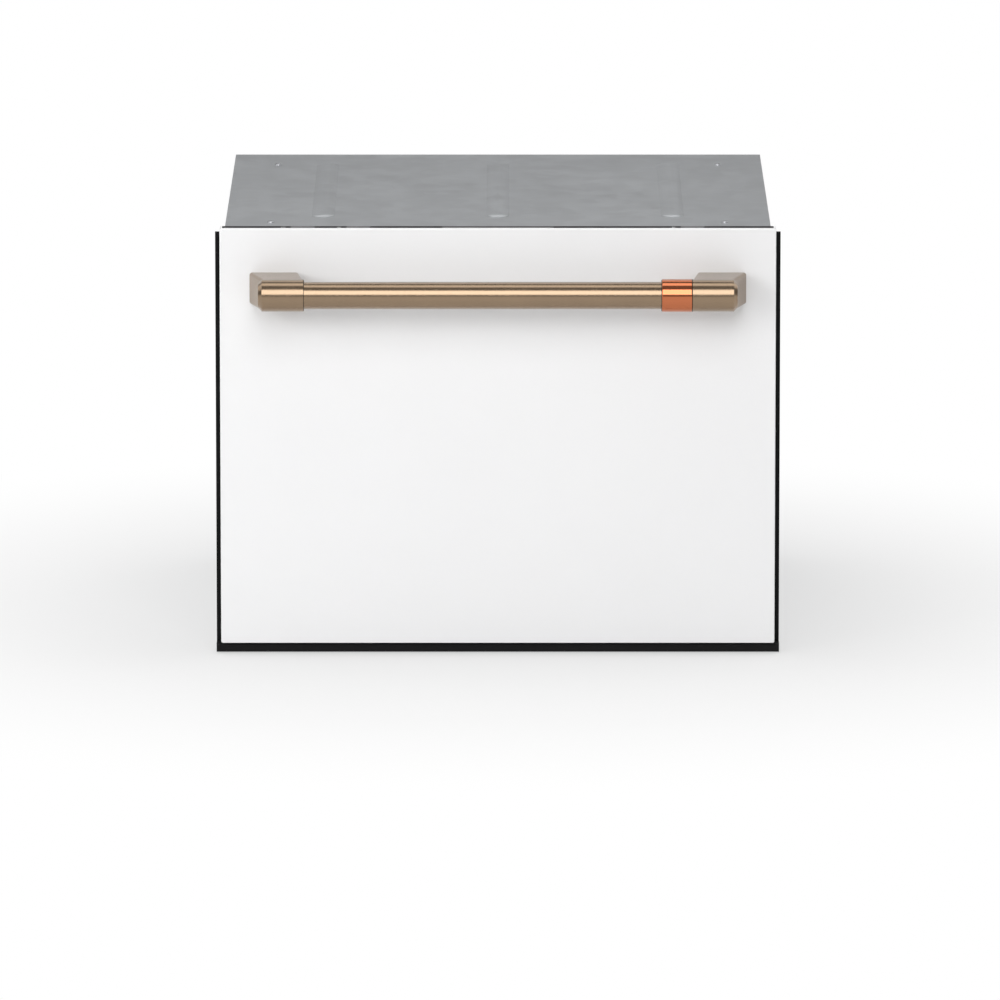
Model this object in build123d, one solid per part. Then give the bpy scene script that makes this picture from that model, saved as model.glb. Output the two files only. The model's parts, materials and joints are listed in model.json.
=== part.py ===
from build123d import *
import math
import os

# A built-in dishwasher with one pull-out drawer, in millimetres.
# While modelling, X runs to the right, Y to the rear from the drawer front's face, and Z up from
# the surface that the machine stands on. export_nodes moves the origin to the bottom centre of the
# overall box.

# Opening between the cupboards, and the drawer front in it
OPENING_WIDTH = 609.6
PANEL_SIDE_GAP = 5.3
PANEL_FLOOR_GAP = 13.0
PANEL_RISE = 7.0
PANEL_DEPTH = 22.0
PANEL_SHEET = 1.0
PANEL_CORNER = 2.0
PANEL_EDGE = 0.9
TOP_RETURN = 6.0
COVER_SHEET = 1.5

# Handle
HANDLE_DROP = 64.8
HANDLE_INSET = 32.2
HANDLE_STAND = 47.0
BAR_RADIUS = 14.6
BAR_SOCKET = 12.0
POST_WALL = 2.7
POST_BACK_WIDTH = 52.8
POST_FRONT_WIDTH = 48.6
POST_LEAN = 10.3
POST_CHAMFER = 4.0
POST_EDGE = 3.0
BAND_LENGTH = 32.4
BAND_WALL = 3.0
BAND_EDGE = 0.75
HANDLE_SCREW_RADIUS = 2.5
HANDLE_SCREW_LENGTH = 18.0
SCREW_HEAD_RADIUS = 5.0
SCREW_HEAD_HEIGHT = 3.0

# Cabinet shell
CHASSIS_SIDE_GAP = 9.8
CHASSIS_HEIGHT = 454.0
CHASSIS_DEPTH = 549.0
CHASSIS_GAP = 2.0
SHEET = 1.0
BACK_RECESS = 24.0
TRAY_FLOOR = 1.5
TRAY_LIP = 20.0
PAD_HEIGHT = 6.0
PAD_RADIUS = 16.0
PAD_INSET = 45.0
FIXING_RADIUS = 2.6
FIXING_SETBACK = 46.0
FIXING_LOW_INSET = 84.0
FIXING_HIGH_INSET = 70.0

# Black trims round the drawer front
EDGE_TRIM_FOOT = 20.0
EDGE_TRIM_GAUGE = 2.0
EDGE_TRIM_FIN = 3.0
LOWER_TRIM_SETBACK = 8.0
LOWER_TRIM_LIFT = 1.5
LOWER_TRIM_GAP = 2.0
LOWER_TRIM_ROUND = 1.5

# Services at the back
INLET_INSET = 64.0
INLET_RADIUS = 13.2
INLET_LENGTH = 20.0
INLET_BORE = 9.5
INLET_BORE_DEPTH = 30.0
VALVE_WIDTH = 44.0
VALVE_DEPTH = 38.0
VALVE_HEIGHT = 44.0
DRAIN_INSET = 64.0
DRAIN_RADIUS = 9.5
DRAIN_BORE = 7.0
DRAIN_LENGTH = 21.0
DRAIN_FLANGE = 15.0
GLAND_INSET = 154.0
GLAND_RADIUS = 11.0
GLAND_BORE = 4.5
GLAND_LENGTH = 18.0
SERVICE_LIFT = 56.0
SERVICE_CLEARANCE = 0.3
SERVICE_FLANGE = 3.0
SERVICE_COLLAR = 1.8

# Telescopic runners
SLIDE_SETBACK = 6.0
SLIDE_REAR_GAP = 18.0
SLIDE_LIFT = 120.0
SLIDE_GAUGE = 1.2
SLIDE_THICKNESS = 12.7
OUTER_HALF = 22.5
OUTER_LIP = 9.0
MIDDLE_START = 2.6
MIDDLE_LIP = 8.4
INNER_LIP = 7.7
BALL_RADIUS = 1.6
BALL_CLEARANCE = 0.1
CAGE_LENGTH = 200.0
CAGE_SETBACK = 146.0
CAGE_STRIP = 0.8
CAGE_WIDTH = 4.0
CAGE_REACH = 6.0
BALLS_PER_ROW = 7

# Tub
TUB_WALL = 3.5
TUB_CORNER = 45.0
TUB_FLOOR_ROUND = 14.0
RIM_OVERHANG = 6.5
RIM_THICKNESS = 4.0
RIM_FRONT_GAP = 0.5
RIM_REAR_GAP = 2.5
GASKET_HEIGHT = 8.0
GASKET_WIDTH = 8.5
GASKET_SETBACK = 0.5
GASKET_ROUND = 2.6
LEDGE_REACH = 32.0
LEDGE_LENGTH = 40.0
LEDGE_DEPTH = 10.0
LEDGE_SETBACK = 95.0
TUB_BOSS_RADIUS = 12.0
TUB_BOSS_SPAN = 170.0
TUB_BOSS_LIFT = 90.0

# Closing lid and its rack-and-pinion drive
LID_TRAVEL = 10.0
LID_HEADROOM = 2.0
LID_DEPTH = 18.7
LID_PLATE = 4.0
LID_RIB_HEIGHT = 7.0
LID_RIB = 2.5
LID_LONG_RIBS = 5
LID_CROSS_RIBS = 4
LID_CORNER = 20.0
LID_SIDE_GAP = 8.0
LID_FRONT_GAP = 3.0
LID_TAIL = 2.0
GUIDE_PIN_RADIUS = 4.0
GUIDE_BOSS_RADIUS = 8.0
GUIDE_INSET = 38.0
GUIDE_FLOOR = 1.5
GEAR_MODULE = 1.5
PINION_TEETH = 12
PRESSURE_ANGLE = 25.0
STUB_ADDENDUM = 0.8
GEAR_DEDENDUM = 1.0
GEAR_BACKLASH = 0.3
GEAR_WIDTH = 6.0
GEAR_GAP = 0.5
FLANK_POINTS = 4
PINION_INSET = 94.0
PINION_DROP = 41.3
PINION_SHAFT_RADIUS = 3.0
SHAFT_END_GAP = 2.0
RACK_BAR_WIDTH = 8.0
RACK_BAR_BELOW = 16.0
ACTUATOR_WIDTH = 76.0
ACTUATOR_HEIGHT = 50.0
ACTUATOR_DEPTH = 12.5
ACTUATOR_ROUND = 3.0

# Frame and controls in the drawer front
FRAME_SIDE_INSET = 5.3
FRAME_DEPTH_PAST = 21.0
FRAME_WALL = 3.0
FRAME_TRAY_GAP = 3.0
FRAME_CEILING_GAP = 8.0
FRAME_CONTROL_GAP = 1.5
FRAME_RIBS = 3
FRAME_RIB_HEIGHT = 130.0
CONTROL_HEIGHT = 14.0
CONTROL_SIDE_INSET = 1.5
CONTROL_SINK = 0.5
BUTTON_INSET = 87.0
BUTTON_PITCH = 60.0
BUTTON_LENGTH = 26.0
BUTTON_WIDTH = 9.0
BUTTON_HEIGHT = 6.0
BUTTON_CORNER = 1.8
BUTTON_PROUD = 0.5
BUTTON_TRAVEL = 1.0
BUTTON_CLEARANCE = 0.25
DISPLAY_LENGTH = 120.0
DISPLAY_WIDTH = 9.0
DISPLAY_THICKNESS = 1.5
MODULE_WIDTH = 230.0
MODULE_DEPTH = 11.0
MODULE_HEIGHT = 60.0
MODULE_GAP = 20.0
MODULE_ROUND = 3.0

# Detergent and rinse-aid dispenser
DISPENSER_WIDTH = 168.0
DISPENSER_HEIGHT = 84.0
DISPENSER_DROP = 90.0
DISPENSER_FLANGE = 6.0
DISPENSER_LIP = 2.5
DISPENSER_SINK = 24.0
CUP_WIDTH = 74.0
CUP_HEIGHT = 52.0
CUP_DEPTH = 20.0
CUP_OFFSET = 34.0
DOOR_MARGIN = 4.0
DOOR_THICKNESS = 4.0
DOOR_GAP = 0.4
DOOR_CORNER = 3.0
HINGE_PIN_RADIUS = 2.0
HINGE_EYE_RADIUS = 4.0
HINGE_EYE_LENGTH = 10.0
RINSE_RADIUS = 17.0
RINSE_NECK_RADIUS = 12.0
RINSE_NECK_DEPTH = 9.0
RINSE_CAP_HEIGHT = 3.0
RINSE_GRIP_WIDTH = 5.0
RINSE_GRIP_RISE = 4.5
RINSE_GRIP_INSET = 3.0
RINSE_GRIP_ROUND = 1.25
RINSE_OFFSET = 46.0

# Sump, motor, filter and spray arm
SUMP_RADIUS = 118.0
SUMP_WALL = 3.5
SUMP_FLANGE = 12.0
SUMP_DEPTH = 42.0
DRAIN_PORT_RADIUS = 10.0
DRAIN_PORT_BORE = 8.0
DRAIN_PORT_OFFSET = 60.0
DRAIN_PORT_LENGTH = 40.0
DRAIN_PORT_LIFT = 14.0
MOTOR_RADIUS = 62.0
MOTOR_HEIGHT = 28.0
MOTOR_WALL = 3.0
MOTOR_TRAY_GAP = 4.0
STATOR_HEIGHT = 18.0
STATOR_SLOTS = 12
STATOR_SLOT_WIDTH = 6.0
STATOR_SLOT_DEPTH = 14.0
ROTOR_RADIUS = 28.0
AIR_GAP = 1.0
SHAFT_RADIUS = 5.0
SEAL_RADIUS = 13.0
SEAL_HEIGHT = 7.0
IMPELLER_RADIUS = 42.0
IMPELLER_DISC = 3.0
IMPELLER_LIFT = 8.0
VANE_HEIGHT = 14.0
VANE_THICKNESS = 2.5
VANE_COUNT = 6
HEATER_INSET = 20.0
HEATER_TUBE = 4.5
PLATE_THICKNESS = 3.0
PLATE_CLEARANCE = 0.4
PLATE_SEAT = 6.0
PLATE_SLOT_LENGTH = 14.0
PLATE_SLOT_WIDTH = 2.4
PLATE_SLOT_PITCH = 16.3
PLATE_RINGS = 3
PLATE_RING_STEP = 20.0
PLATE_RING_INSET = 14.0
SPRAY_POST_RADIUS = 13.0
FILTER_RADIUS = 26.0
FILTER_GAP = 4.0
FILTER_DEPTH = 22.0
FILTER_RIM = 4.0
FILTER_WALL = 2.0
FILTER_GRIP_WIDTH = 5.0
FILTER_GRIP_HEIGHT = 4.0
ARM_WALL_GAP = 16.5
ARM_HUB_RADIUS = 25.0
ARM_ROOT_WIDTH = 46.0
ARM_TIP_WIDTH = 30.0
ARM_THICKNESS = 12.0
ARM_FILTER_GAP = 2.0
ARM_LIFT = 4.0
ARM_ROUND = 3.5
ARM_JET_WIDTH = 3.0
ARM_JET_LENGTH = 9.0
ARM_JET_DEPTH = 3.5
ARM_JETS = 5
ARM_HUB_CAP = 4.0

# Wire rack
WIRE = 2.0
RIM_WIRE = 2.5
WELD_BITE = 0.4
RACK_SIDE_GAP = 16.0
RACK_END_GAP = 9.0
RACK_ARM_GAP = 10.4
RACK_DOOR_GAP = 32.5
RACK_MID_DROP = 58.0
RACK_BEND = 12.0
WIRE_TOE = 3.0
SIDE_WIRES = 11
END_WIRES = 15
TINE_RADIUS = 1.8
ROD_RADIUS = 2.2
TINE_SHELF_GAP = 40.1
TINE_TIP = 1.4
TINE_PITCH = 30.0
TINE_SETBACK = 135.0
FOLD_WIRE = 3
FIXED_WIRE = 5
CLIP_WIDTH = 11.0
CLIP_LENGTH = 10.0
CLIP_RISE = 5.5
CUP_RACK_REACH = 96.0
CUP_RACK_LENGTH = 340.0
CUP_RACK_SHEET = 3.6
CUP_RACK_CORNER = 7.2
CUP_RACK_SLOTS = 9
CUP_RACK_SLOT_LENGTH = 58.0
CUP_RACK_SLOT_WIDTH = 16.0
CUP_RACK_RING = 5.8
CUP_RACK_RING_LENGTH = 14.0
BASKET_WIDTH = 196.0
BASKET_DEPTH = 70.0
BASKET_HEIGHT = 108.0
BASKET_WALL = 2.4
BASKET_CORNER = 7.2
BASKET_SETBACK = 26.0
BASKET_BAYS = 3
BASKET_SLOT_COLUMNS = 12
BASKET_SLOT_ROWS = 2
BASKET_SLOT_WIDTH = 7.0
BASKET_SLOT_HEIGHT = 36.0
ARCH_WIDTH = 8.0
ARCH_RISE = 26.0

# Clearances
SLIP = 0.3
MATE = 0.1
RUNNING_CLEARANCE = 0.05

# Places of the shell and the drawer front, worked out from the values above
CHASSIS_FRONT = PANEL_DEPTH + CHASSIS_GAP
CHASSIS_BACK = CHASSIS_FRONT + CHASSIS_DEPTH
CHASSIS_TOP = PAD_HEIGHT + CHASSIS_HEIGHT
CEILING = CHASSIS_TOP - SHEET
WALL = OPENING_WIDTH / 2 - CHASSIS_SIDE_GAP - SHEET
BACK_WALL = CHASSIS_BACK - BACK_RECESS - SHEET
BACK_FACE = BACK_WALL + SHEET
FIXING_LOW = PAD_HEIGHT + FIXING_LOW_INSET
FIXING_HIGH = CHASSIS_TOP - FIXING_HIGH_INSET
INLET_SPAN = INLET_INSET - WALL
DRAIN_SPAN = WALL - DRAIN_INSET
GLAND_SPAN = WALL - GLAND_INSET
SERVICE_HEIGHT = PAD_HEIGHT + SERVICE_LIFT
PANEL_WIDTH = OPENING_WIDTH - 2 * PANEL_SIDE_GAP
PANEL_TOP = CHASSIS_TOP + PANEL_RISE
PANEL_HEIGHT = PANEL_TOP - PANEL_FLOOR_GAP
POST_RADIUS = BAR_RADIUS + POST_WALL
POST_BACK_OUTER = PANEL_WIDTH / 2 - HANDLE_INSET
POST_FRONT_OUTER = POST_BACK_OUTER - POST_LEAN
BAND_RADIUS = BAR_RADIUS + BAND_WALL
HANDLE_HEIGHT = PANEL_TOP - HANDLE_DROP
HANDLE_REACH = HANDLE_STAND + BAND_RADIUS
OVERALL_DEPTH = HANDLE_REACH + CHASSIS_BACK
FACE_Y = HANDLE_REACH - OVERALL_DEPTH / 2
CONTROL_TOP = PANEL_TOP - CONTROL_SINK
CONTROL_MIDDLE = (TOP_RETURN + PANEL_DEPTH) / 2
CONTROL_HALF = PANEL_WIDTH / 2 - PANEL_SHEET - CONTROL_SIDE_INSET
BUTTON_END = CONTROL_HALF - BUTTON_INSET
BUTTON_PLACES = {
    "power_button": -BUTTON_END,
    "cycle_button": BUTTON_PITCH - BUTTON_END,
    "start_button": BUTTON_END,
}

# Places of the lid, its drive and the runners
LID_UNDERSIDE = CEILING - LID_HEADROOM - LID_DEPTH
GASKET_TOP = LID_UNDERSIDE - LID_TRAVEL - SLIP
RIM_TOP = GASKET_TOP - GASKET_HEIGHT
GEAR_FRONT = BACK_WALL - ACTUATOR_DEPTH - GEAR_GAP - GEAR_WIDTH
PITCH_RADIUS = GEAR_MODULE * PINION_TEETH / 2
PINION_SPAN = WALL - PINION_INSET
PINION_HEIGHT = LID_UNDERSIDE - PINION_DROP
FRAME_FRONT = PANEL_SHEET + SLIP
FRAME_BACK = CHASSIS_FRONT + FRAME_DEPTH_PAST
LID_HALF = WALL - LID_SIDE_GAP
LID_FRONT = FRAME_BACK + LID_FRONT_GAP
LID_BACK = GEAR_FRONT + GEAR_WIDTH + LID_TAIL
BALL_GAP = 2 * (BALL_RADIUS + BALL_CLEARANCE)
MIDDLE_HALF = OUTER_HALF - SLIDE_GAUGE - BALL_GAP
INNER_HALF = MIDDLE_HALF - SLIDE_GAUGE - BALL_GAP

# Places of the sump, the tub and the frame
MOTOR_TOP = PAD_HEIGHT + TRAY_LIP + MOTOR_TRAY_GAP + MOTOR_HEIGHT
SUMP_FLOOR = MOTOR_TOP + SUMP_WALL
SUMP_TOP = MOTOR_TOP + SUMP_DEPTH
TUB_FLOOR_HEIGHT = SUMP_TOP
TUB_FRONT = FRAME_BACK + RIM_FRONT_GAP + RIM_OVERHANG
TUB_BACK = GEAR_FRONT - RIM_REAR_GAP - RIM_OVERHANG
TUB_LENGTH = TUB_BACK - TUB_FRONT
TUB_MIDDLE = (TUB_FRONT + TUB_BACK) / 2
TUB_HALF = WALL - SLIDE_THICKNESS
TUB_INSIDE_HALF = TUB_HALF - TUB_WALL
TUB_INSIDE_FRONT = TUB_FRONT + TUB_WALL
TUB_INSIDE_BACK = TUB_BACK - TUB_WALL
TUB_INSIDE_FLOOR = TUB_FLOOR_HEIGHT + TUB_WALL
TUB_BOSS_HEIGHT = TUB_FLOOR_HEIGHT + TUB_BOSS_LIFT
SLIDE_HEIGHT = TUB_FLOOR_HEIGHT + SLIDE_LIFT
FRAME_HALF = TUB_HALF - FRAME_SIDE_INSET
FRAME_BOTTOM = PAD_HEIGHT + TRAY_LIP + FRAME_TRAY_GAP
FRAME_TOP = min(CEILING - FRAME_CEILING_GAP, CONTROL_TOP - CONTROL_HEIGHT - FRAME_CONTROL_GAP)
DISPENSER_LEVEL = RIM_TOP - DISPENSER_DROP
DISPENSER_FACE = TUB_INSIDE_FRONT + DISPENSER_LIP
DOOR_LOW = DISPENSER_LEVEL - CUP_HEIGHT / 2 - DOOR_MARGIN
HINGE_HEIGHT = DOOR_LOW - HINGE_EYE_RADIUS
HINGE_DEPTH = DISPENSER_FACE + HINGE_EYE_RADIUS + DOOR_GAP

# Places of the filter, the spray arm and the rack
PLATE_TOP = SUMP_TOP + PLATE_THICKNESS
HEATER_RADIUS = SUMP_RADIUS - HEATER_INSET
FILTER_OFFSET = IMPELLER_RADIUS + FILTER_RADIUS + FILTER_GAP
FILTER_TOP = PLATE_TOP + MATE + FILTER_WALL
ARM_TOP = FILTER_TOP + ARM_FILTER_GAP + ARM_THICKNESS
ARM_RADIUS = min(TUB_INSIDE_HALF, TUB_LENGTH / 2 - TUB_WALL) - ARM_WALL_GAP
SPRAY_POST_TOP = ARM_TOP - ARM_HUB_CAP - MATE
RACK_HALF = TUB_INSIDE_HALF - RACK_SIDE_GAP
RACK_FRONT = TUB_INSIDE_FRONT + RACK_END_GAP
RACK_BACK = TUB_INSIDE_BACK - RACK_END_GAP
CROSS_HEIGHT = ARM_TOP + RACK_ARM_GAP + WIRE
LONG_HEIGHT = CROSS_HEIGHT + 2 * WIRE - WELD_BITE
RACK_TOP = HINGE_HEIGHT - HINGE_EYE_RADIUS - RACK_DOOR_GAP
RACK_MID_HEIGHT = RACK_TOP - RACK_MID_DROP
BEND_START = RACK_BEND + WIRE_TOE
ROD_HEIGHT = LONG_HEIGHT + WIRE + SLIP + ROD_RADIUS
TINE_TOP = RACK_TOP - CUP_RACK_SHEET / 2 - TINE_SHELF_GAP


def block(x, y, z):
    """A box between two limits on each axis."""
    centre = Pos((x[0] + x[1]) / 2, (y[0] + y[1]) / 2, (z[0] + z[1]) / 2)
    return centre * Box(abs(x[1] - x[0]), abs(y[1] - y[0]), abs(z[1] - z[0]))


def around(centre, size):
    """The limits of a size about its centre."""
    return (centre - size / 2, centre + size / 2)


def past(limits):
    """Limits that run a little past a face on both sides, for a cut."""
    return (limits[0] - SLIP, limits[1] + SLIP)


def upright(x, y, z, radius):
    """A vertical cylinder between two heights."""
    return Pos(x, y, z[0]) * Cylinder(radius, z[1] - z[0], align=(Align.CENTER, Align.CENTER, Align.MIN))


def along_y(x, z, y, radius):
    """A cylinder from front to rear between two depths."""
    return Pos(x, (y[0] + y[1]) / 2, z) * Rot(90, 0, 0) * Cylinder(radius, y[1] - y[0])


def along_x(y, z, x, radius):
    """A cylinder from left to right between two places."""
    return Pos((x[0] + x[1]) / 2, y, z) * Rot(0, 90, 0) * Cylinder(radius, x[1] - x[0])


def slab(width, length, corner, z, middle):
    """An upright plate with rounded corners, centred on the machine's middle plane."""
    return Pos(0, middle, z[0]) * extrude(RectangleRounded(width, length, corner), z[1] - z[0])


def fused(shapes):
    """Several shapes as one."""
    return Part() + list(shapes)


def group(shapes):
    """Several separate solids in one node."""
    return Compound(children=[solid for shape in shapes for solid in shape.solids()])


def mirrored(shape):
    """The same piece on the other side of the machine."""
    return mirror(shape, about=Plane.YZ)


def spread(first, last, count):
    """Evenly spaced places, ends included."""
    return [first + (last - first) * i / (count - 1) for i in range(count)]


# Cabinet shell

def side_panel():
    """The right-hand wall, with two screw holes near its front edge."""
    panel = block((WALL, WALL + SHEET), (CHASSIS_FRONT, CHASSIS_BACK), (PAD_HEIGHT, CHASSIS_TOP))
    x, y = past((WALL, WALL + SHEET)), CHASSIS_FRONT + FIXING_SETBACK
    return panel - [along_x(y, z, x, FIXING_RADIUS) for z in (FIXING_LOW, FIXING_HIGH)]


def base_tray():
    """The drip tray that closes the bottom of the shell."""
    z = (PAD_HEIGHT, PAD_HEIGHT + TRAY_LIP)
    outer = block((-WALL, WALL), (CHASSIS_FRONT, BACK_FACE), z)
    inside = WALL - SHEET
    hollow = (z[0] + TRAY_FLOOR, z[1] + SLIP)
    return outer - block((-inside, inside), (CHASSIS_FRONT + SHEET, BACK_WALL), hollow)


def back_panel():
    """The rear wall, set in from the back edges, with holes for the services."""
    y = (BACK_WALL, BACK_FACE)
    panel = block((-WALL, WALL), y, (PAD_HEIGHT + TRAY_LIP, CEILING))
    services = {
        INLET_SPAN: INLET_RADIUS + SERVICE_COLLAR,
        DRAIN_SPAN: DRAIN_RADIUS + SERVICE_COLLAR,
        GLAND_SPAN: GLAND_RADIUS,
    }
    for x, radius in services.items():
        panel -= along_y(x, SERVICE_HEIGHT, past(y), radius + SERVICE_CLEARANCE)
    return panel


def rest_pads():
    """Four rubber pads under the tray."""
    x = WALL - PAD_INSET
    depths = (CHASSIS_FRONT + PAD_INSET, BACK_WALL - PAD_INSET)
    return group(upright(side * x, y, (0, PAD_HEIGHT), PAD_RADIUS) for side in (-1, 1) for y in depths)


def edge_trims():
    """Rubber fins on the shell's front edges, which close the gap to the cupboards."""
    root = WALL + SHEET
    z = (PAD_HEIGHT, CHASSIS_TOP)
    foot = block((root, root + EDGE_TRIM_GAUGE), (CHASSIS_FRONT, CHASSIS_FRONT + EDGE_TRIM_FOOT), z)
    fin = block((root, OPENING_WIDTH / 2), (CHASSIS_FRONT, CHASSIS_FRONT + EDGE_TRIM_FIN), z)
    trim = foot + fin
    return group([trim, mirrored(trim)])


def lower_trim():
    """The black strip below the drawer front."""
    half = OPENING_WIDTH / 2
    y = (LOWER_TRIM_SETBACK, CHASSIS_FRONT)
    z = (LOWER_TRIM_LIFT, PANEL_FLOOR_GAP - LOWER_TRIM_GAP)
    bar = block((-half, half), y, z)
    front = bar.faces().sort_by(Axis.Y)[0]
    return fillet(front.edges(), LOWER_TRIM_ROUND)


def inlet_valve():
    """The water valve, with its threaded stub through the rear wall."""
    x, z = around(INLET_SPAN, VALVE_WIDTH), around(SERVICE_HEIGHT, VALVE_HEIGHT)
    body = block(x, (BACK_WALL - VALVE_DEPTH, BACK_WALL), z)
    collar = along_y(INLET_SPAN, SERVICE_HEIGHT, (BACK_WALL, BACK_FACE), INLET_RADIUS + SERVICE_COLLAR)
    stub = along_y(INLET_SPAN, SERVICE_HEIGHT, (BACK_FACE, BACK_FACE + INLET_LENGTH), INLET_RADIUS)
    mouth = BACK_FACE + INLET_LENGTH
    bore = along_y(INLET_SPAN, SERVICE_HEIGHT, (mouth - INLET_BORE_DEPTH, mouth + SLIP), INLET_BORE)
    return body + collar + stub - bore


def drain_outlet():
    """The drain tail through the rear wall, with a flange inside."""
    y = (BACK_WALL - SERVICE_FLANGE, BACK_FACE + DRAIN_LENGTH)
    outlet = along_y(DRAIN_SPAN, SERVICE_HEIGHT, (BACK_FACE, y[1]), DRAIN_RADIUS)
    outlet += along_y(DRAIN_SPAN, SERVICE_HEIGHT, (BACK_WALL, BACK_FACE), DRAIN_RADIUS + SERVICE_COLLAR)
    outlet += along_y(DRAIN_SPAN, SERVICE_HEIGHT, (y[0], BACK_WALL), DRAIN_FLANGE)
    return outlet - along_y(DRAIN_SPAN, SERVICE_HEIGHT, past(y), DRAIN_BORE)


def power_gland():
    """The bare gland where the mains lead enters."""
    y = (BACK_WALL - SERVICE_FLANGE, BACK_FACE + GLAND_LENGTH)
    body = along_y(GLAND_SPAN, SERVICE_HEIGHT, y, GLAND_RADIUS)
    flange = along_y(GLAND_SPAN, SERVICE_HEIGHT, (y[0], BACK_WALL), GLAND_RADIUS + SERVICE_FLANGE)
    return body + flange - along_y(GLAND_SPAN, SERVICE_HEIGHT, past(y), GLAND_BORE)


# Telescopic runners, given by their reach from the right-hand wall

def runner(web, lips, half):
    """One C-shaped runner section."""
    y = (CHASSIS_FRONT + SLIDE_SETBACK, BACK_WALL - SLIDE_REAR_GAP)
    pieces = [block((WALL - web[1], WALL - web[0]), y, around(SLIDE_HEIGHT, 2 * half))]
    for low in (half - SLIDE_GAUGE, -half):
        z = (SLIDE_HEIGHT + low, SLIDE_HEIGHT + low + SLIDE_GAUGE)
        pieces.append(block((WALL - lips[1], WALL - lips[0]), y, z))
    return fused(pieces)


def outer_runners():
    """The pair fixed to the shell."""
    rail = runner((0, SLIDE_GAUGE), (0, OUTER_LIP), OUTER_HALF)
    return group([rail, mirrored(rail)])


def middle_runners():
    """The pair that travels half as far as the drawer."""
    web = (MIDDLE_START, MIDDLE_START + SLIDE_GAUGE)
    rail = runner(web, (MIDDLE_START, MIDDLE_START + MIDDLE_LIP), MIDDLE_HALF)
    return group([rail, mirrored(rail)])


def inner_runners():
    """The pair fixed to the tub."""
    web = (SLIDE_THICKNESS - SLIDE_GAUGE, SLIDE_THICKNESS)
    rail = runner(web, (SLIDE_THICKNESS - INNER_LIP, SLIDE_THICKNESS), INNER_HALF)
    return group([rail, mirrored(rail)])


def ball_cages(half):
    """Caged balls above and below the runner of that half height, on both sides."""
    x = WALL - CAGE_REACH
    start = CHASSIS_FRONT + CAGE_SETBACK
    pieces = []
    for side in (-1, 1):
        z = SLIDE_HEIGHT + side * (half + BALL_GAP / 2)
        strip = block(around(x, CAGE_WIDTH), (start, start + CAGE_LENGTH), around(z, CAGE_STRIP))
        for place in range(BALLS_PER_ROW):
            y = start + CAGE_LENGTH * (place + 0.5) / BALLS_PER_ROW
            strip -= upright(x, y, around(z, 2 * CAGE_STRIP), BALL_RADIUS + BALL_CLEARANCE)
            pieces.append(Pos(x, y, z) * Sphere(BALL_RADIUS))
        pieces.append(strip)
    return group(pieces + [mirrored(piece) for piece in pieces])


# Closing lid and its rack-and-pinion drive

def guide_places():
    """Centres of the four guide pins."""
    x = LID_HALF - GUIDE_INSET
    return [(side * x, y) for side in (-1, 1) for y in (LID_FRONT + GUIDE_INSET, LID_BACK - GUIDE_INSET)]


def lid_panel():
    """A ribbed plate that drops on to the tub's gasket, guided by four bosses."""
    length = LID_BACK - LID_FRONT
    middle = (LID_FRONT + LID_BACK) / 2
    plate_top = LID_UNDERSIDE + LID_PLATE
    lid = slab(2 * LID_HALF, length, LID_CORNER, (LID_UNDERSIDE, plate_top), middle)
    ribs = (plate_top, plate_top + LID_RIB_HEIGHT)
    inset = LID_CORNER / 2
    across, along = (inset - LID_HALF, LID_HALF - inset), (LID_FRONT + inset, LID_BACK - inset)
    for x in spread(*across, LID_LONG_RIBS):
        lid += block(around(x, LID_RIB), along, ribs)
    for y in spread(*along, LID_CROSS_RIBS):
        lid += block(across, around(y, LID_RIB), ribs)
    top = LID_UNDERSIDE + LID_DEPTH
    bosses = [upright(x, y, (plate_top, top), GUIDE_BOSS_RADIUS) for x, y in guide_places()]
    bore = GUIDE_PIN_RADIUS + RUNNING_CLEARANCE
    bores = [upright(x, y, (LID_UNDERSIDE + GUIDE_FLOOR, top + SLIP), bore) for x, y in guide_places()]
    return lid + bosses - bores


def lid_guide_pins():
    """Four pins hanging from the shell's top."""
    tip = LID_UNDERSIDE + GUIDE_FLOOR + SLIP
    return group(upright(x, y, (tip, CEILING), GUIDE_PIN_RADIUS) for x, y in guide_places())


def involute(angle):
    """The involute function of an angle in radians."""
    return math.tan(angle) - angle


def half_tooth_angle(radius):
    """Half the angle that a pinion tooth covers at a radius, in radians."""
    base = PITCH_RADIUS * math.cos(math.radians(PRESSURE_ANGLE))
    at_pitch = (math.pi * GEAR_MODULE - GEAR_BACKLASH) / (4 * PITCH_RADIUS)
    rise = involute(math.radians(PRESSURE_ANGLE))
    return at_pitch + rise - involute(math.acos(min(1.0, base / radius)))


def pinion(side):
    """A small gear on its shaft, meshing with the rack on its outer side."""
    root = PITCH_RADIUS - GEAR_MODULE * GEAR_DEDENDUM
    tip = PITCH_RADIUS + GEAR_MODULE * STUB_ADDENDUM
    base = PITCH_RADIUS * math.cos(math.radians(PRESSURE_ANGLE))
    outline = []
    for tooth in range(PINION_TEETH):
        middle = 2 * math.pi * tooth / PINION_TEETH
        flank = [(root, half_tooth_angle(base))]
        flank += [(radius, half_tooth_angle(radius)) for radius in spread(base, tip, FLANK_POINTS)]
        for radius, half in flank:
            outline.append((radius * math.cos(middle - half), radius * math.sin(middle - half)))
        for radius, half in reversed(flank):
            outline.append((radius * math.cos(middle + half), radius * math.sin(middle + half)))
    profile = make_face(Polyline(outline, close=True))
    place = Pos(PINION_SPAN, GEAR_FRONT + GEAR_WIDTH, PINION_HEIGHT) * Rot(90, 0, 0)
    gear = place * extrude(profile, GEAR_WIDTH)
    shaft_y = (GEAR_FRONT, BACK_WALL - SHAFT_END_GAP)
    shaft = along_y(PINION_SPAN, PINION_HEIGHT, shaft_y, PINION_SHAFT_RADIUS)
    piece = gear + shaft
    return piece if side > 0 else mirrored(piece)


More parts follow.
